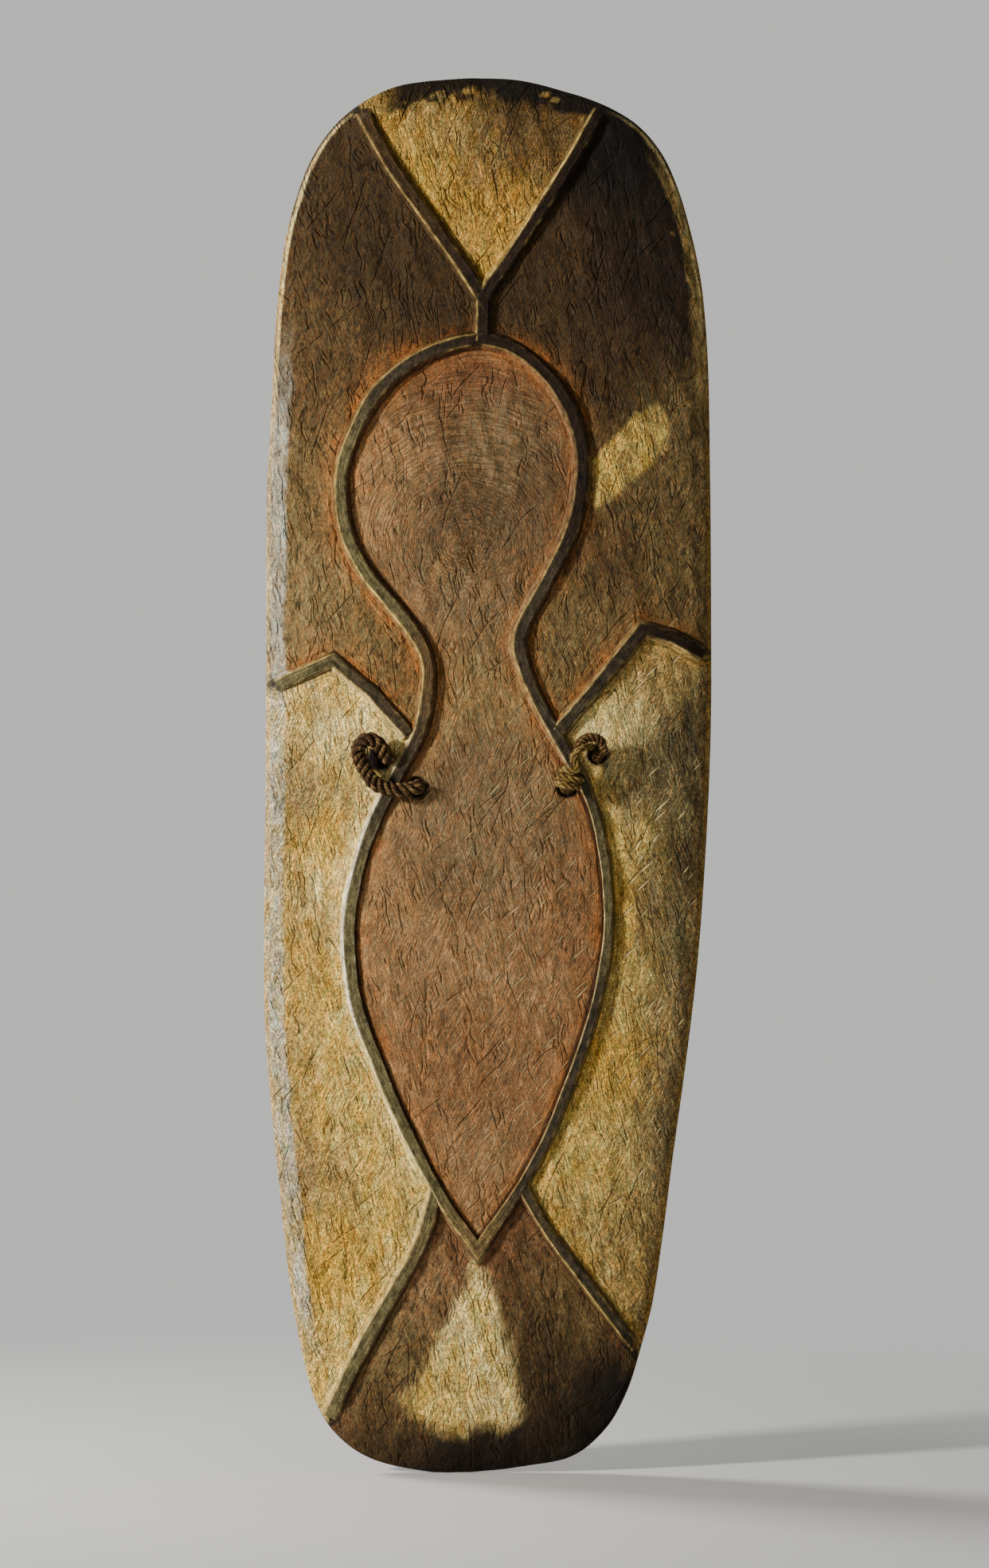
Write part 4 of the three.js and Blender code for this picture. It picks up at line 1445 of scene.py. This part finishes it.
def ridge_rings(name, rows, closed):
    """Rings of the section across the line, wavering in place, width and height, and the
    directions across the line."""
    seed = len(name) * 7
    walked = np.arange(len(rows)) * RIDGE_STEP
    side = sides_of(rows, closed)
    sway = 0.9 * MM * layered_noise(walked / (70 * MM), 0 * walked, seed)
    width = 1 + 0.13 * layered_noise(walked / (45 * MM), 0 * walked + 9, seed)
    width *= 1 - 0.2 * step_between(rows[:, 0], 0, 0.05) * step_between(0.04 - rows[:, 1], 0, 0.08)
    lift = 1 + 0.08 * layered_noise(walked / (38 * MM), 0 * walked + 17, seed)
    if closed:
        ease = np.clip(np.minimum(walked, walked[-1] - walked) / (40 * MM), 0, 1)
        sway, width, lift = sway * ease, 1 + (width - 1) * ease, 1 + (lift - 1) * ease
    centre = rows + side * sway[:, None]
    flank = np.sign(RIDGE_SECTION[:, 0]) * np.maximum(np.abs(RIDGE_SECTION[:, 0]) - FLANK_START, 0)
    steep = STEEP_SHARE * closed * step_between(0.05 - rows[:, 1], 0, 0.09)[:, None] * (flank > 0)
    offset = (RIDGE_SECTION[None, :, 0] - steep * flank) * width[:, None]
    x = centre[:, 0, None] + side[:, 0, None] * offset
    z = centre[:, 1, None] + side[:, 1, None] * offset
    to_rim = distance_to_line(x, z, coarse_rim)
    rim_inside = np.where(inside(x, z, rim_line), to_rim, 0)
    height = RIDGE_SECTION[None, :, 1] * lift[:, None]
    share = step_between(np.min(rim_inside, axis=1), SUNK_AT, SINKS_FROM)[:, None]
    height = np.where(height > -1 * MM, height * share - SUNK_DEPTH * (1 - share), height)
    nicks = 0.45 * MM * layered_noise(walked[:, None] / (7 * MM), offset / (5 * MM) + 30, seed + 3)
    surface = face_depth(x, z) + bevel_fall(rim_inside)
    y = surface - height - nicks + LOWERED[name]
    inward = 1 - np.where(inside(x, z, rim_line), 0, to_rim + 1 * MM) / np.hypot(x, z)
    return np.stack([x * inward, y, z * inward], axis=-1), side


# %% [markdown]
# A ridge's crown is dark from smoke, its slopes carry the paint of the fields beside them,
# and its edges are worn pale. The pale edge is painted wider and stronger on the side that
# faces the light, as a painted highlight, and the foot of the side away from it is painted
# dark, as painted shade. Which of these a point has follows from how far across the
# section it lies and which way that side faces.

# %% Colours of the ridges
CROWNS = [
    (520, 230, "umber"), (700, 220, "char"), (605, 390, "char"), (500, 450, "dusk"),
    (715, 480, "char"), (424, 600, "moss"), (730, 640, "char"), (480, 750, "moss"),
    (690, 740, "dusk"), (535, 850, "earth"), (660, 820, "dusk"), (500, 960, "dusk"),
    (700, 930, "dusk"), (380, 845, "moss"), (470, 860, "dusk"), (760, 850, "dusk"),
    (850, 800, "char"), (440, 1160, "moss"), (760, 1120, "moss"), (470, 1330, "moss"),
    (735, 1300, "dusk"), (540, 1500, "moss"), (660, 1480, "dusk"), (600, 1560, "olive"),
    (480, 1640, "moss"), (720, 1590, "dusk"),
]
WORN_EDGE_AND_HIGHLIGHT = [
    (480, 200, "clay"), (700, 250, "chalk"), (430, 560, "clay"), (740, 560, "olive"),
    (500, 760, "chalk"), (670, 760, "clay"), (440, 1160, "lime"), (765, 1120, "cream"),
    (500, 1420, "cream"), (600, 1560, "clay"), (740, 1620, "chalk"),
]


def ridge_colours(points, side, section_offset):
    """Crown, worn edge or the paint of the field beside, by the way across the section, with a
    painted highlight on the edge that faces the light and painted shade at the foot of the other.
    """
    x, z = points[..., 0], points[..., 2]
    outward = np.sign(section_offset)[None, :] * 8 * MM
    fx, fz = x + side[:, 0, None] * outward, z + side[:, 1, None] * outward
    to_rim = distance_to_line(fx, fz, coarse_rim)
    beside, _, _ = paint(fx, fz, to_nearest_ridge(fx, fz), to_rim)
    across = np.abs(section_offset)[None, :] / MM + 0 * x
    waver = 1.2 * layered_noise(x / (7 * MM), z / (7 * MM), 141)
    crown = mean_of_spots(x, z, CROWNS, 1.0)
    colour = mixed(crown, beside, step_between(across + waver, 6.0, 7.4))
    # Which side of the ridge faces the light, for the painted shade and highlight below.
    lit = step_between(-side[:, 0, None] * np.sign(section_offset)[None, :], -0.2, 0.6)
    # Painted shade: the foot of the side away from the light is darkened towards char.
    colour = toward(colour, "char", step_between(across, 6.2, 7.5) * (1 - lit) * 0.75)
    # Painted highlight: the pale worn edge is wider and stronger on the side that faces the light,
    # widest on the body's left ridge.
    wide_highlight = lit * step_between(0.02 - z, 0, 0.06) * step_between(-x, 0.06, 0.12)
    edge = np.exp(-(((across - 5.8 - 1.2 * wide_highlight) / (1 + 0.5 * wide_highlight)) ** 2))
    ragged = 0.9 * layered_noise(x / (11 * MM), z / (11 * MM), 131) * (1 - 0.6 * wide_highlight)
    ragged = ragged - 0.05 + 0.95 * lit
    return mixed(colour, mean_of_spots(x, z, WORN_EDGE_AND_HIGHLIGHT), np.clip(edge * ragged, 0, 1))


def add_ridge(name):
    """One ridge: the section closed underneath, swept along its line."""
    closed, rows = name == CLOSED_RIDGE, RIDGE_ROWS[name]
    points, side = ridge_rings(name, rows, closed)
    colours = ridge_colours(points, side, RIDGE_SECTION[:, 0])
    faces = grid_faces(*points.shape[:2], closed=True, looped=closed)
    piece = mesh_object("ridge_" + name, points.reshape(-1, 3), faces)
    close_ends(piece)
    colour_attribute(piece, "paint", colours.reshape(-1, 3))
    across = np.broadcast_to(RIDGE_SECTION[:, 0] / MM, points.shape[:2])
    float_attribute(piece, "across", across)
    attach(piece, "board")
    return piece


ridges = [add_ridge(name) for name in RIDGE_ROWS]
print(sum(len(piece.data.polygons) for piece in ridges), "faces in the ridges")

# %% [markdown]
# ## Materials
# The materials are small trees of nodes. A helper adds a node and joins its inputs, either
# to a value or to the output of another node, so that each material reads as a few lines.

# %% Nodes
TO_MM = (1000, 1000, 1000)


def new_tree(name):
    """A new material without nodes, and its tree."""
    material = bpy.data.materials.new(name)
    material.use_nodes = True
    material.node_tree.nodes.clear()
    return material, material.node_tree


def add(tree, kind, inputs=None, **settings):
    """Adds a node; inputs are values or other nodes' outputs, by name or number."""
    node = tree.nodes.new("ShaderNode" + kind)
    for name, value in settings.items():
        setattr(node, name, value)
    for key, value in (inputs or {}).items():
        if isinstance(value, bpy.types.NodeSocket):
            tree.links.new(value, node.inputs[key])
        else:
            node.inputs[key].default_value = value
    return node


def math_node(tree, operation, *values, clamp=False):
    """The result of an operation on values."""
    node = add(tree, "Math", dict(enumerate(values)), operation=operation, use_clamp=clamp)
    return node.outputs[0]


def times(tree, first, second):
    """The product of two values."""
    return math_node(tree, "MULTIPLY", first, second)


def vector_node(tree, operation, *vectors, output="Vector"):
    """The result of an operation on vectors."""
    node = add(tree, "VectorMath", dict(enumerate(vectors)), operation=operation)
    return node.outputs[output]


def scaled(tree, vector, scale):
    """A vector multiplied part by part."""
    return vector_node(tree, "MULTIPLY", vector, scale)


def turned(tree, vector, degrees):
    """A vector turned about the y axis."""
    turn = (0, math.radians(degrees), 0)
    return add(tree, "Mapping", {"Vector": vector, "Rotation": turn}).outputs[0]


def combined(tree, *parts):
    """A vector made of up to three values."""
    return add(tree, "CombineXYZ", dict(enumerate(parts))).outputs[0]


def place_in_mm(tree):
    """Object coordinates in millimetres."""
    return scaled(tree, add(tree, "TexCoord").outputs["Object"], TO_MM)


# %% [markdown]
# Two patterns do for wood and fibre. Noise gives mottling, and strokes where it is drawn
# out along one axis. Cells round scattered centres give facets and single cuts. Both are
# read at the place in millimetres, so a scale is one over the size of what is to be seen.

# %% Patterns
DEPTH_SCALE = 0.02


def noise(tree, vector, scale, detail=3.0, roughness=0.55):
    """Noise whose spots have the size, along each axis, of one over the scale."""
    vector = scaled(tree, vector, scale)
    inputs = {"Vector": vector, "Scale": 1.0, "Detail": detail, "Roughness": roughness}
    return add(tree, "TexNoise", inputs).outputs["Fac"]


def warped(tree, place, size, reach):
    """The place pushed aside by slow noise, so that lines laid through it waver."""
    place_in_noise = scaled(tree, place, (1 / size,) * 3)
    slow = add(tree, "TexNoise", {"Vector": place_in_noise, "Scale": 1.0, "Detail": 1.0})
    push = vector_node(tree, "SUBTRACT", slow.outputs["Color"], (0.5, 0.5, 0.5))
    return vector_node(tree, "ADD", place, scaled(tree, push, (2 * reach, 0, 2 * reach)))


def cells(tree, lattice, randomness):
    """A pattern of cells round scattered centres, one in each unit cube of the lattice."""
    inputs = {"Vector": lattice, "Scale": 1.0, "Randomness": randomness}
    return add(tree, "TexVoronoi", inputs).outputs


def ramp(tree, value, low, high, out_low=0.0, out_high=1.0):
    """A value carried from one range to another, held at the ends."""
    limits = {"From Min": low, "From Max": high, "To Min": out_low, "To Max": out_high}
    return add(tree, "MapRange", {"Value": value, **limits}, clamp=True).outputs[0]


def blended(tree, share, first, second):
    """A value between two others."""
    return add(tree, "Mix", {0: share, 2: first, 3: second}, data_type="FLOAT").outputs[0]


# %% [markdown]
# Colours are mixed by a share, or multiplied as a thin layer of pigment would. All heights
# of a material are added up in millimetres and bend the light in one bump, because one sum
# is easier to read and to balance than several bumps in a row.


# %% Colours and surface
def mix_colour(tree, share, first, second, blend="MIX"):
    """One colour between two others, or their product."""
    inputs = {0: share, 6: first, 7: second}
    return add(tree, "Mix", inputs, data_type="RGBA", blend_type=blend).outputs[2]


def tinted(tree, colour, tint):
    """A colour multiplied by another."""
    return mix_colour(tree, 1.0, colour, tint, "MULTIPLY")


def shaded(tree, colour, value, low, high):
    """The colour made darker and lighter by a value that lies mostly between .35 and .65."""
    tone = ramp(tree, value, 0.35, 0.65, low, high)
    return tinted(tree, colour, combined(tree, tone, tone, tone))


def rgba(code):
    """An opaque colour from six hexadecimal digits."""
    return (*linear(code), 1.0)


def attribute(tree, name, output="Fac"):
    """What a piece keeps for each point under a name."""
    return add(tree, "Attribute", attribute_name=name).outputs[output]


def bumped(tree, *heights):
    """The surface bent by heights: the sum of values, each times its size in millimetres."""
    total = 0.0
    for value, size in heights:
        total = math_node(tree, "MULTIPLY_ADD", value, size, total)
    return add(tree, "Bump", {"Height": total, "Distance": MM, "Strength": 1.0}).outputs[0]


def finish_material(tree, colour, normal, roughness, specular=0.12):
    """Ends a material in one surface."""
    inputs = {
        "Base Color": colour, "Normal": normal, "Roughness": roughness,
        "Specular IOR Level": specular,
    }
    shader = add(tree, "BsdfPrincipled", inputs)
    add(tree, "OutputMaterial", {0: shader.outputs[0]})


# %% [markdown]
# ## Marks of the tools
# The adze left shallow facets, each tilted its own way, with a sharp step to the next. All
# sizes here are in millimetres.


# %% Marks of the tools
def facets(tree, place, scale):
    """Tilted facets and a tone for each: in each cell the height grows with the way from the
    cell's centre, and steps where the next cell begins."""
    lattice = scaled(tree, place, scale)
    cell = cells(tree, lattice, 0.95)
    offset = vector_node(tree, "SUBTRACT", lattice, cell["Position"])
    lean = vector_node(tree, "SUBTRACT", cell["Color"], (0.3, 0.5, 0.7))
    height = vector_node(tree, "DOT_PRODUCT", offset, lean, output="Value")
    return height, add(tree, "SeparateColor", {0: cell["Color"]}).outputs[1]


# %% [markdown]
# The knife left fine strokes, which run with the grain, round the head of the figure and
# along the ridges. Each kind is noise drawn out along its own way, and they are blended by
# the attributes of the place.

# %% Strokes
HEAD_CENTRE = (-20.0, 0.0, 250.0)
HEAD_RADIUS = 60.0
STROKE_DETAIL = (3.0, 0.62)


def stroke_lines(tree, place):
    """Strokes with the grain, in patches that lean left and right."""
    wavy = warped(tree, place, 24, 2)
    one = noise(tree, turned(tree, wavy, 16), (1 / 1.3, 1 / 3, 1 / 26), *STROKE_DETAIL)
    two = noise(tree, turned(tree, wavy, -24), (1 / 1.5, 1 / 3, 1 / 20), *STROKE_DETAIL)
    patch = ramp(tree, noise(tree, place, (1 / 40, 1 / 40, 1 / 50), 2.0), 0.44, 0.56)
    return blended(tree, patch, one, two)


def head_lines(tree, place):
    """Strokes round the head: noise that is fine across the circles and long along them."""
    middle = vector_node(tree, "SUBTRACT", warped(tree, place, 30, 4), HEAD_CENTRE)
    radius = vector_node(tree, "LENGTH", middle, output="Value")
    parts = add(tree, "SeparateXYZ", {0: middle}).outputs
    angle = math_node(tree, "ARCTAN2", parts[0], parts[2])
    rings = combined(tree, radius, times(tree, angle, HEAD_RADIUS))
    return noise(tree, rings, (1 / 1.5, 1 / 16, 1), *STROKE_DETAIL)


def ridge_lines(tree, place, gap):
    """Strokes along the ridges: noise that is fine in the distance to the nearest one."""
    slow = scaled(tree, place, (0.045, 0.045, 0.045))
    ways = vector_node(tree, "ADD", combined(tree, gap), slow)
    return noise(tree, ways, (1 / 1.5, 1, 1), *STROKE_DETAIL)


def tool_lines(tree, place, gap):
    """The strokes that a place has: round the head, along a ridge near by, or plain ones."""
    head = attribute(tree, "head")
    lines = blended(tree, head, stroke_lines(tree, place), head_lines(tree, place))
    beside = ramp(tree, gap, 12, 30, 0.85, 0.0)
    return blended(tree, beside, lines, ridge_lines(tree, place, gap))


# %% [markdown]
# Single cuts lie over the strokes: long ones at a slant, crooked ones, and pale scratches
# where the paint was scored. Lines drawn one by one would take hundreds of places, so each
# kind is a pattern, of which only some cells are kept.

# %% Cuts
KNIFE_CUTS = (
    (4, 60, 3.0, 0.3, 0.4), (-20, 66, 3.2, 0.3, 0.45), (-40, 56, 3.4, 0.3, 0.55),
    (-54, 40, 3.0, 0.3, 0.3),
)
PALE_SCRATCHES = ((-47, 22, 2.5, 0.34, 0.75), (-38, 16, 2.3, 0.34, 0.7))


def scratches(tree, place, turn, length, width, thinness, kept):
    """Thin lines of a turn in degrees, a length and a width: the nearness to the centres of
    long narrow cells. The thinner they are in their cells, the farther apart they lie, and
    only a share of them is kept."""
    cell_size = (thinness / width, DEPTH_SCALE, thinness / length)
    cell = cells(tree, scaled(tree, turned(tree, place, turn), cell_size), 1.0)
    line = ramp(tree, cell["Distance"], thinness * 0.3, thinness * 0.55, 1.0, 0.0)
    chosen = add(tree, "SeparateColor", {0: cell["Color"]}).outputs[0]
    return times(tree, line, ramp(tree, chosen, kept - 0.02, kept + 0.02, 1.0, 0.0))


def folds(tree, place, scale, width):
    """Thin crooked grooves: 1 where slow noise passes through its middle value."""
    slow = noise(tree, place, scale, 1.5, 0.5)
    off = math_node(tree, "ABSOLUTE", math_node(tree, "SUBTRACT", slow, 0.5))
    return ramp(tree, off, 0.0, width, 1.0, 0.0)


def knife_marks(tree, place, wavy, bare):
    """Pale scratches, and all cuts together: these scratches, crooked grooves in patches and
    long cuts, all of them faint on the bare back."""
    pale = [scratches(tree, place, *scratch) for scratch in PALE_SCRATCHES]
    pale = times(tree, math_node(tree, "MAXIMUM", *pale), attribute(tree, "scored"))
    patch = ramp(tree, noise(tree, place, (1 / 24, 1 / 24, 1 / 34), 2.0), 0.5, 0.56)
    crooked = folds(tree, turned(tree, wavy, 12), (1 / 10, DEPTH_SCALE, 1 / 60), 0.05)
    crooked = times(tree, crooked, patch)
    cuts = math_node(tree, "MAXIMUM", pale, times(tree, crooked, 0.45))
    bent = warped(tree, place, 48, 6)
    for cut in KNIFE_CUTS:
        cuts = math_node(tree, "MAXIMUM", cuts, scratches(tree, bent, *cut))
    return pale, times(tree, cuts, ramp(tree, bare, 0.0, 1.0, 1.0, 0.12))


# %% [markdown]
# ## Painted wood
# The paint is thicker in some strokes and worn off in others, chalk more than the rest. It
# drifts between a warmer and a cooler tone, dirt and painted shade lie dark beside the
# ridges, and grime on the dark fields. The back is bare wood under patches of smoke.


# %% Painted wood
WARM = (1.15, 0.95, 0.78, 1)
COOL = (0.89, 1.05, 1.1, 1)
ROSY = (1.08, 0.96, 0.78, 1)
YELLOWED = (0.96, 0.85, 0.48, 1)
# Dark of the grime, and of the painted shade at the foot of the ridges.
DIRT_AND_SHADE = "140D08"
WOOD_TONES = ("35261A", "7C6248")
SMOKE = "33261B"


def rubbed(tree, place, colour, lines, specks, chalk, red):
    """Chalk broken up by specks, strokes and grit, and grime where there is neither chalk
    nor red."""
    grit = noise(tree, place, (1 / 1.4, 1 / 1.4, 1 / 1.9), 1.0, 0.6)
    speckled = colour
    for value, low, high in ((specks, 0.6, 1.38), (lines, 0.75, 1.22), (grit, 0.5, 1.5)):
        speckled = shaded(tree, speckled, value, low, high)
    colour = mix_colour(tree, ramp(tree, chalk, 0.0, 1.0, 0.6, 1.0), colour, speckled)
    dark = math_node(tree, "SUBTRACT", 0.6, math_node(tree, "MAXIMUM", chalk, red))
    grime = ramp(tree, noise(tree, place, (1 / 5, 1 / 5, 1 / 10), 5.0, 0.74), 0.53, 0.6)
    grime = math_node(tree, "MULTIPLY", grime, dark, clamp=True)
    return mix_colour(tree, grime, colour, rgba(DIRT_AND_SHADE))


def stained(tree, place, wavy, colour, chalk, red):
    """Streaks of warmer and cooler paint, and patches: rosy ones in the red, yellow ones in
    the chalk."""
    hue = noise(tree, turned(tree, wavy, -12), (1 / 3, 1 / 3, 1 / 12), 5.0, 0.72)
    warm, cool = tinted(tree, colour, WARM), tinted(tree, colour, COOL)
    colour = mix_colour(tree, ramp(tree, hue, 0.4, 0.6), cool, warm)
    rosy = ramp(tree, noise(tree, place, (1 / 26, 1 / 26, 1 / 40), 4.0, 0.6), 0.48, 0.62)
    rosy = times(tree, times(tree, rosy, red), 0.5)
    colour = mix_colour(tree, rosy, colour, tinted(tree, colour, ROSY))
    yellow = noise(tree, place, (1 / 14, 1 / 14, 1 / 34), 5.0, 0.66)
    plain = ramp(tree, attribute(tree, "scored"), 0.0, 1.0, 1.0, 0.15)
    yellow = times(tree, ramp(tree, yellow, 0.46, 0.6, 0.0, 0.8), times(tree, chalk, plain))
    return mix_colour(tree, yellow, colour, tinted(tree, colour, YELLOWED))


def raw_wood(tree, grain, waves, mottle):
    """Bare wood: grain between two browns, under patches of smoke."""
    light, dark = (rgba(code) for code in reversed(WOOD_TONES))
    raw = mix_colour(tree, ramp(tree, grain, 0.38, 0.6), dark, light)
    smoke = ramp(tree, waves, 0.42, 0.6, 0.0, 0.5)
    return mix_colour(tree, smoke, shaded(tree, raw, mottle, 0.75, 1.25), rgba(SMOKE))


# %% [markdown]
# The layers are put together from the bottom up: the colour of the paint, the marks in it,
# stains, cuts that show fresh wood, the dirt and painted shade beside the ridges, and the
# bare back.

# %% The plank's material
FRESH_WOOD = (1.5, 1.45, 1.3, 1)
SCRATCH = "DCC48C"


def painted_wood():
    """The plank: paint over the marks of the tools, and bare wood on the back."""
    material, tree = new_tree("painted_wood")
    place = place_in_mm(tree)
    chalk, red, bare = (attribute(tree, name) for name in ("chalk", "red", "bare"))
    gap = attribute(tree, "ridge_gap")
    wavy = warped(tree, place, 26, 7)
    mottle = noise(tree, place, (1 / 7, 1 / 7, 1 / 13), 5.0, 0.7)
    waves = noise(tree, place, (1 / 24, 1 / 24, 1 / 40), 1.0, 0.5)
    specks = noise(tree, place, (1 / 3, 1 / 3, 1 / 4.5), 2.0, 0.7)
    leaning = warped(tree, turned(tree, place, 14), 18, 4)
    large, tone = facets(tree, leaning, (1 / 24, DEPTH_SCALE, 1 / 50))
    grain = noise(tree, warped(tree, place, 70, 9), (1 / 2.4, DEPTH_SCALE, 1 / 110), 4.0, 0.62)
    lines = blended(tree, bare, tool_lines(tree, place, gap), grain)
    pale, cuts = knife_marks(tree, place, wavy, bare)

    colour = shaded(tree, attribute(tree, "paint", "Color"), mottle, 0.8, 1.2)
    colour = shaded(tree, colour, lines, 0.64, 1.36)
    colour = shaded(tree, colour, ramp(tree, tone, 0.0, 1.0, 0.35, 0.65), 0.9, 1.1)
    colour = rubbed(tree, place, colour, lines, specks, chalk, red)
    colour = stained(tree, place, wavy, colour, chalk, red)
    colour = mix_colour(tree, times(tree, pale, 0.95), colour, rgba(SCRATCH))
    colour = mix_colour(tree, times(tree, cuts, 0.3), colour, tinted(tree, colour, FRESH_WOOD))
    # Dirt and painted shade: the field is darkened at the foot of every ridge, less on chalk.
    dirt_and_shade = times(tree, ramp(tree, gap, 7.5, 10, 0.8, 0.0), ramp(tree, chalk, 0, 1, 1.0, 0.35))
    colour = mix_colour(tree, dirt_and_shade, colour, rgba(DIRT_AND_SHADE))
    colour = mix_colour(tree, bare, colour, raw_wood(tree, grain, waves, mottle))

    heights = (large, 5.5), (lines, 2.8), (waves, 6.0), (mottle, 2.0), (specks, 0.8), (cuts, -6.5)
    roughness = ramp(tree, mottle, 0.35, 0.65, 0.6, 0.85)
    finish_material(tree, colour, bumped(tree, *heights), roughness)
    return material


# %% [markdown]
# ## Ridges and rope
# The ridges have small chips and strokes along them over the colours of their attribute.
# The rope is streaked along its fibres, paler in tufts, and painted nearly black between the
# strands as painted shade.


# %% Ridges and rope
SHADE_BETWEEN_STRANDS = "0C0704"


def ridge_wood():
    """The ridges: chips and strokes along them, and the colours of their attribute."""
    material, tree = new_tree("ridge_wood")
    place = place_in_mm(tree)
    mottle = noise(tree, place, (1 / 6, 1 / 6, 1 / 8), 5.0, 0.68)
    specks = noise(tree, place, (1 / 1.7, 1 / 1.7, 1 / 1.7), 3.0, 0.7)
    chips, _ = facets(tree, warped(tree, place, 9, 2), (1 / 9, DEPTH_SCALE, 1 / 11))
    strokes = ridge_lines(tree, place, attribute(tree, "across"))
    colour = attribute(tree, "paint", "Color")
    for value, low, high in ((mottle, 0.5, 1.5), (specks, 0.65, 1.35), (strokes, 0.6, 1.4)):
        colour = shaded(tree, colour, value, low, high)
    normal = bumped(tree, (chips, 2.6), (mottle, 2.0), (specks, 0.6), (strokes, 2.2))
    finish_material(tree, colour, normal, 0.7, 0.1)
    return material


def rope_fibre(name, dark, mid, pale):
    """Laid plant fibre: thin streaks along the rope, and painted shade between the strands."""
    material, tree = new_tree(name)
    fibre = attribute(tree, "fibre", "Vector")
    fine = noise(tree, fibre, (1 / 0.5, 1 / 0.5, 1 / 9), 4.0, 0.65)
    tufts = noise(tree, fibre, (1 / 2.2, 1 / 2.2, 1 / 12), 3.0, 0.6)
    groove = ramp(tree, attribute(tree, "crown"), 0.05, 0.6, 0.92, 0.0)
    colour = mix_colour(tree, ramp(tree, fine, 0.4, 0.6), rgba(dark), rgba(mid))
    colour = mix_colour(tree, ramp(tree, tufts, 0.5, 0.66, 0.0, 0.8), colour, rgba(pale))
    # Painted shade: the grooves between the strands are darkened nearly to black.
    colour = mix_colour(tree, groove, colour, rgba(SHADE_BETWEEN_STRANDS))
    finish_material(tree, colour, bumped(tree, (fine, 1.2), (tufts, 1.4)), 0.92, 0.08)
    return material


wood = painted_wood()
ridge_look = ridge_wood()
dark_rope = rope_fibre("fibre_rope", "1E140D", "5E462E", "A08052")
tan_rope = rope_fibre("tan_rope", "2A1C10", "7C5C38", "B8945A")
pale_strand = rope_fibre("fibre_strand", "4A3718", "94773C", "C8AE6C")


def dress(pieces, material):
    """Gives pieces their material."""
    for piece in pieces:
        piece.data.materials.clear()
        piece.data.materials.append(material)


dress([plank], wood)
dress(ridges, ridge_look)
dress([left_loop, upper_run, lower_run, *passages, *hairs[:-1]], dark_rope)
dress([right_end, hairs[-1]], tan_rope)
dress([whipping, pale_hairs], pale_strand)
for look in (wood, ridge_look, dark_rope, tan_rope, pale_strand):
    print(look.name, "has", len(look.node_tree.nodes), "nodes")

# %% [markdown]
# ## Light
# The photograph is lit from the left and a little from above, at a grazing angle that
# shows every cut. A weaker, wider light from the right and the pale room keep the far side
# readable, and a light from behind on the left rakes over the back and catches the rim.

# %% Light
WARM_WHITE = (1, 0.97, 0.93)


def area_light(name, direction, distance, size, watts, colour=(1, 1, 1)):
    """A square lamp at a distance in a direction, turned towards the middle."""
    data = bpy.data.lights.new(name, "AREA")
    data.size = size
    data.energy = watts
    data.color = colour
    lamp = bpy.data.objects.new(name, data)
    bpy.context.scene.collection.objects.link(lamp)
    direction = Vector(direction).normalized()
    lamp.location = direction * distance
    lamp.rotation_euler = direction.to_track_quat("Z", "Y").to_euler()
    print(name, "light of", watts, "W at", distance, "m")


area_light("key", (-0.82, -0.52, 0.26), 3.6, 0.4, 208, (1, 0.97, 0.92))
area_light("fill", (0.5, -0.85, 0.2), 4.5, 3.0, 19, WARM_WHITE)
area_light("back", (-0.78, 0.5, 0.36), 4.0, 1.2, 210)

# %% [markdown]
# ## Room and floor
# The room is pale to the camera, but lights the object only dimly, because a bright room
# would wash the cuts out. The shield stands just above a wide pale floor, which fades into
# the room, so that no horizon shows.

# %% Room and floor
PALE = 0.62
ROOM = (PALE, PALE, PALE * 0.98, 1)
DIM = 0.07
FLOOR_REACH = 7.0
FLOOR_GAP = 1 * MM
FADE = (0.5, 1.6)


def add_world():
    """Pale for the camera, and an even dim light for the object."""
    world = bpy.data.worlds.new("room")
    bpy.context.scene.world = world
    world.use_nodes = True
    tree = world.node_tree
    tree.nodes.clear()
    path = add(tree, "LightPath").outputs
    seen = path["Is Camera Ray"]
    for kind in ("Is Glossy Ray", "Is Transmission Ray"):
        seen = math_node(tree, "MAXIMUM", seen, path[kind])
    light = add(tree, "Background", {"Color": (*WARM_WHITE, 1), "Strength": DIM})
    room = add(tree, "Background", {"Color": ROOM, "Strength": 1.0})
    both = add(tree, "MixShader", {0: seen, 1: light.outputs[0], 2: room.outputs[0]})
    add(tree, "OutputWorld", {0: both.outputs[0]})


def add_floor():
    """A wide pale floor under the shield, which fades into the pale room with distance."""
    corners = FLOOR_REACH * np.array([[-1, -1], [1, -1], [1, 1], [-1, 1]])
    points = np.column_stack([corners, np.full(4, cad_low[2] - FLOOR_GAP)])
    floor = mesh_object("floor", points, np.array([[0, 1, 2, 3]]), smooth=False)
    material, tree = new_tree("floor")
    level = scaled(tree, add(tree, "TexCoord").outputs["Object"], (1, 1, 0))
    away = vector_node(tree, "LENGTH", level, output="Value")
    plain = add(tree, "BsdfDiffuse", {"Color": ROOM})
    glow = add(tree, "Emission", {"Color": ROOM, "Strength": 1.0})
    seen = add(tree, "LightPath").outputs["Is Camera Ray"]
    share = times(tree, ramp(tree, away, *FADE), seen)
    both = add(tree, "MixShader", {0: share, 1: plain.outputs[0], 2: glow.outputs[0]})
    add(tree, "OutputMaterial", {0: both.outputs[0]})
    floor.data.materials.append(material)
    floor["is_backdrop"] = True


add_world()
add_floor()
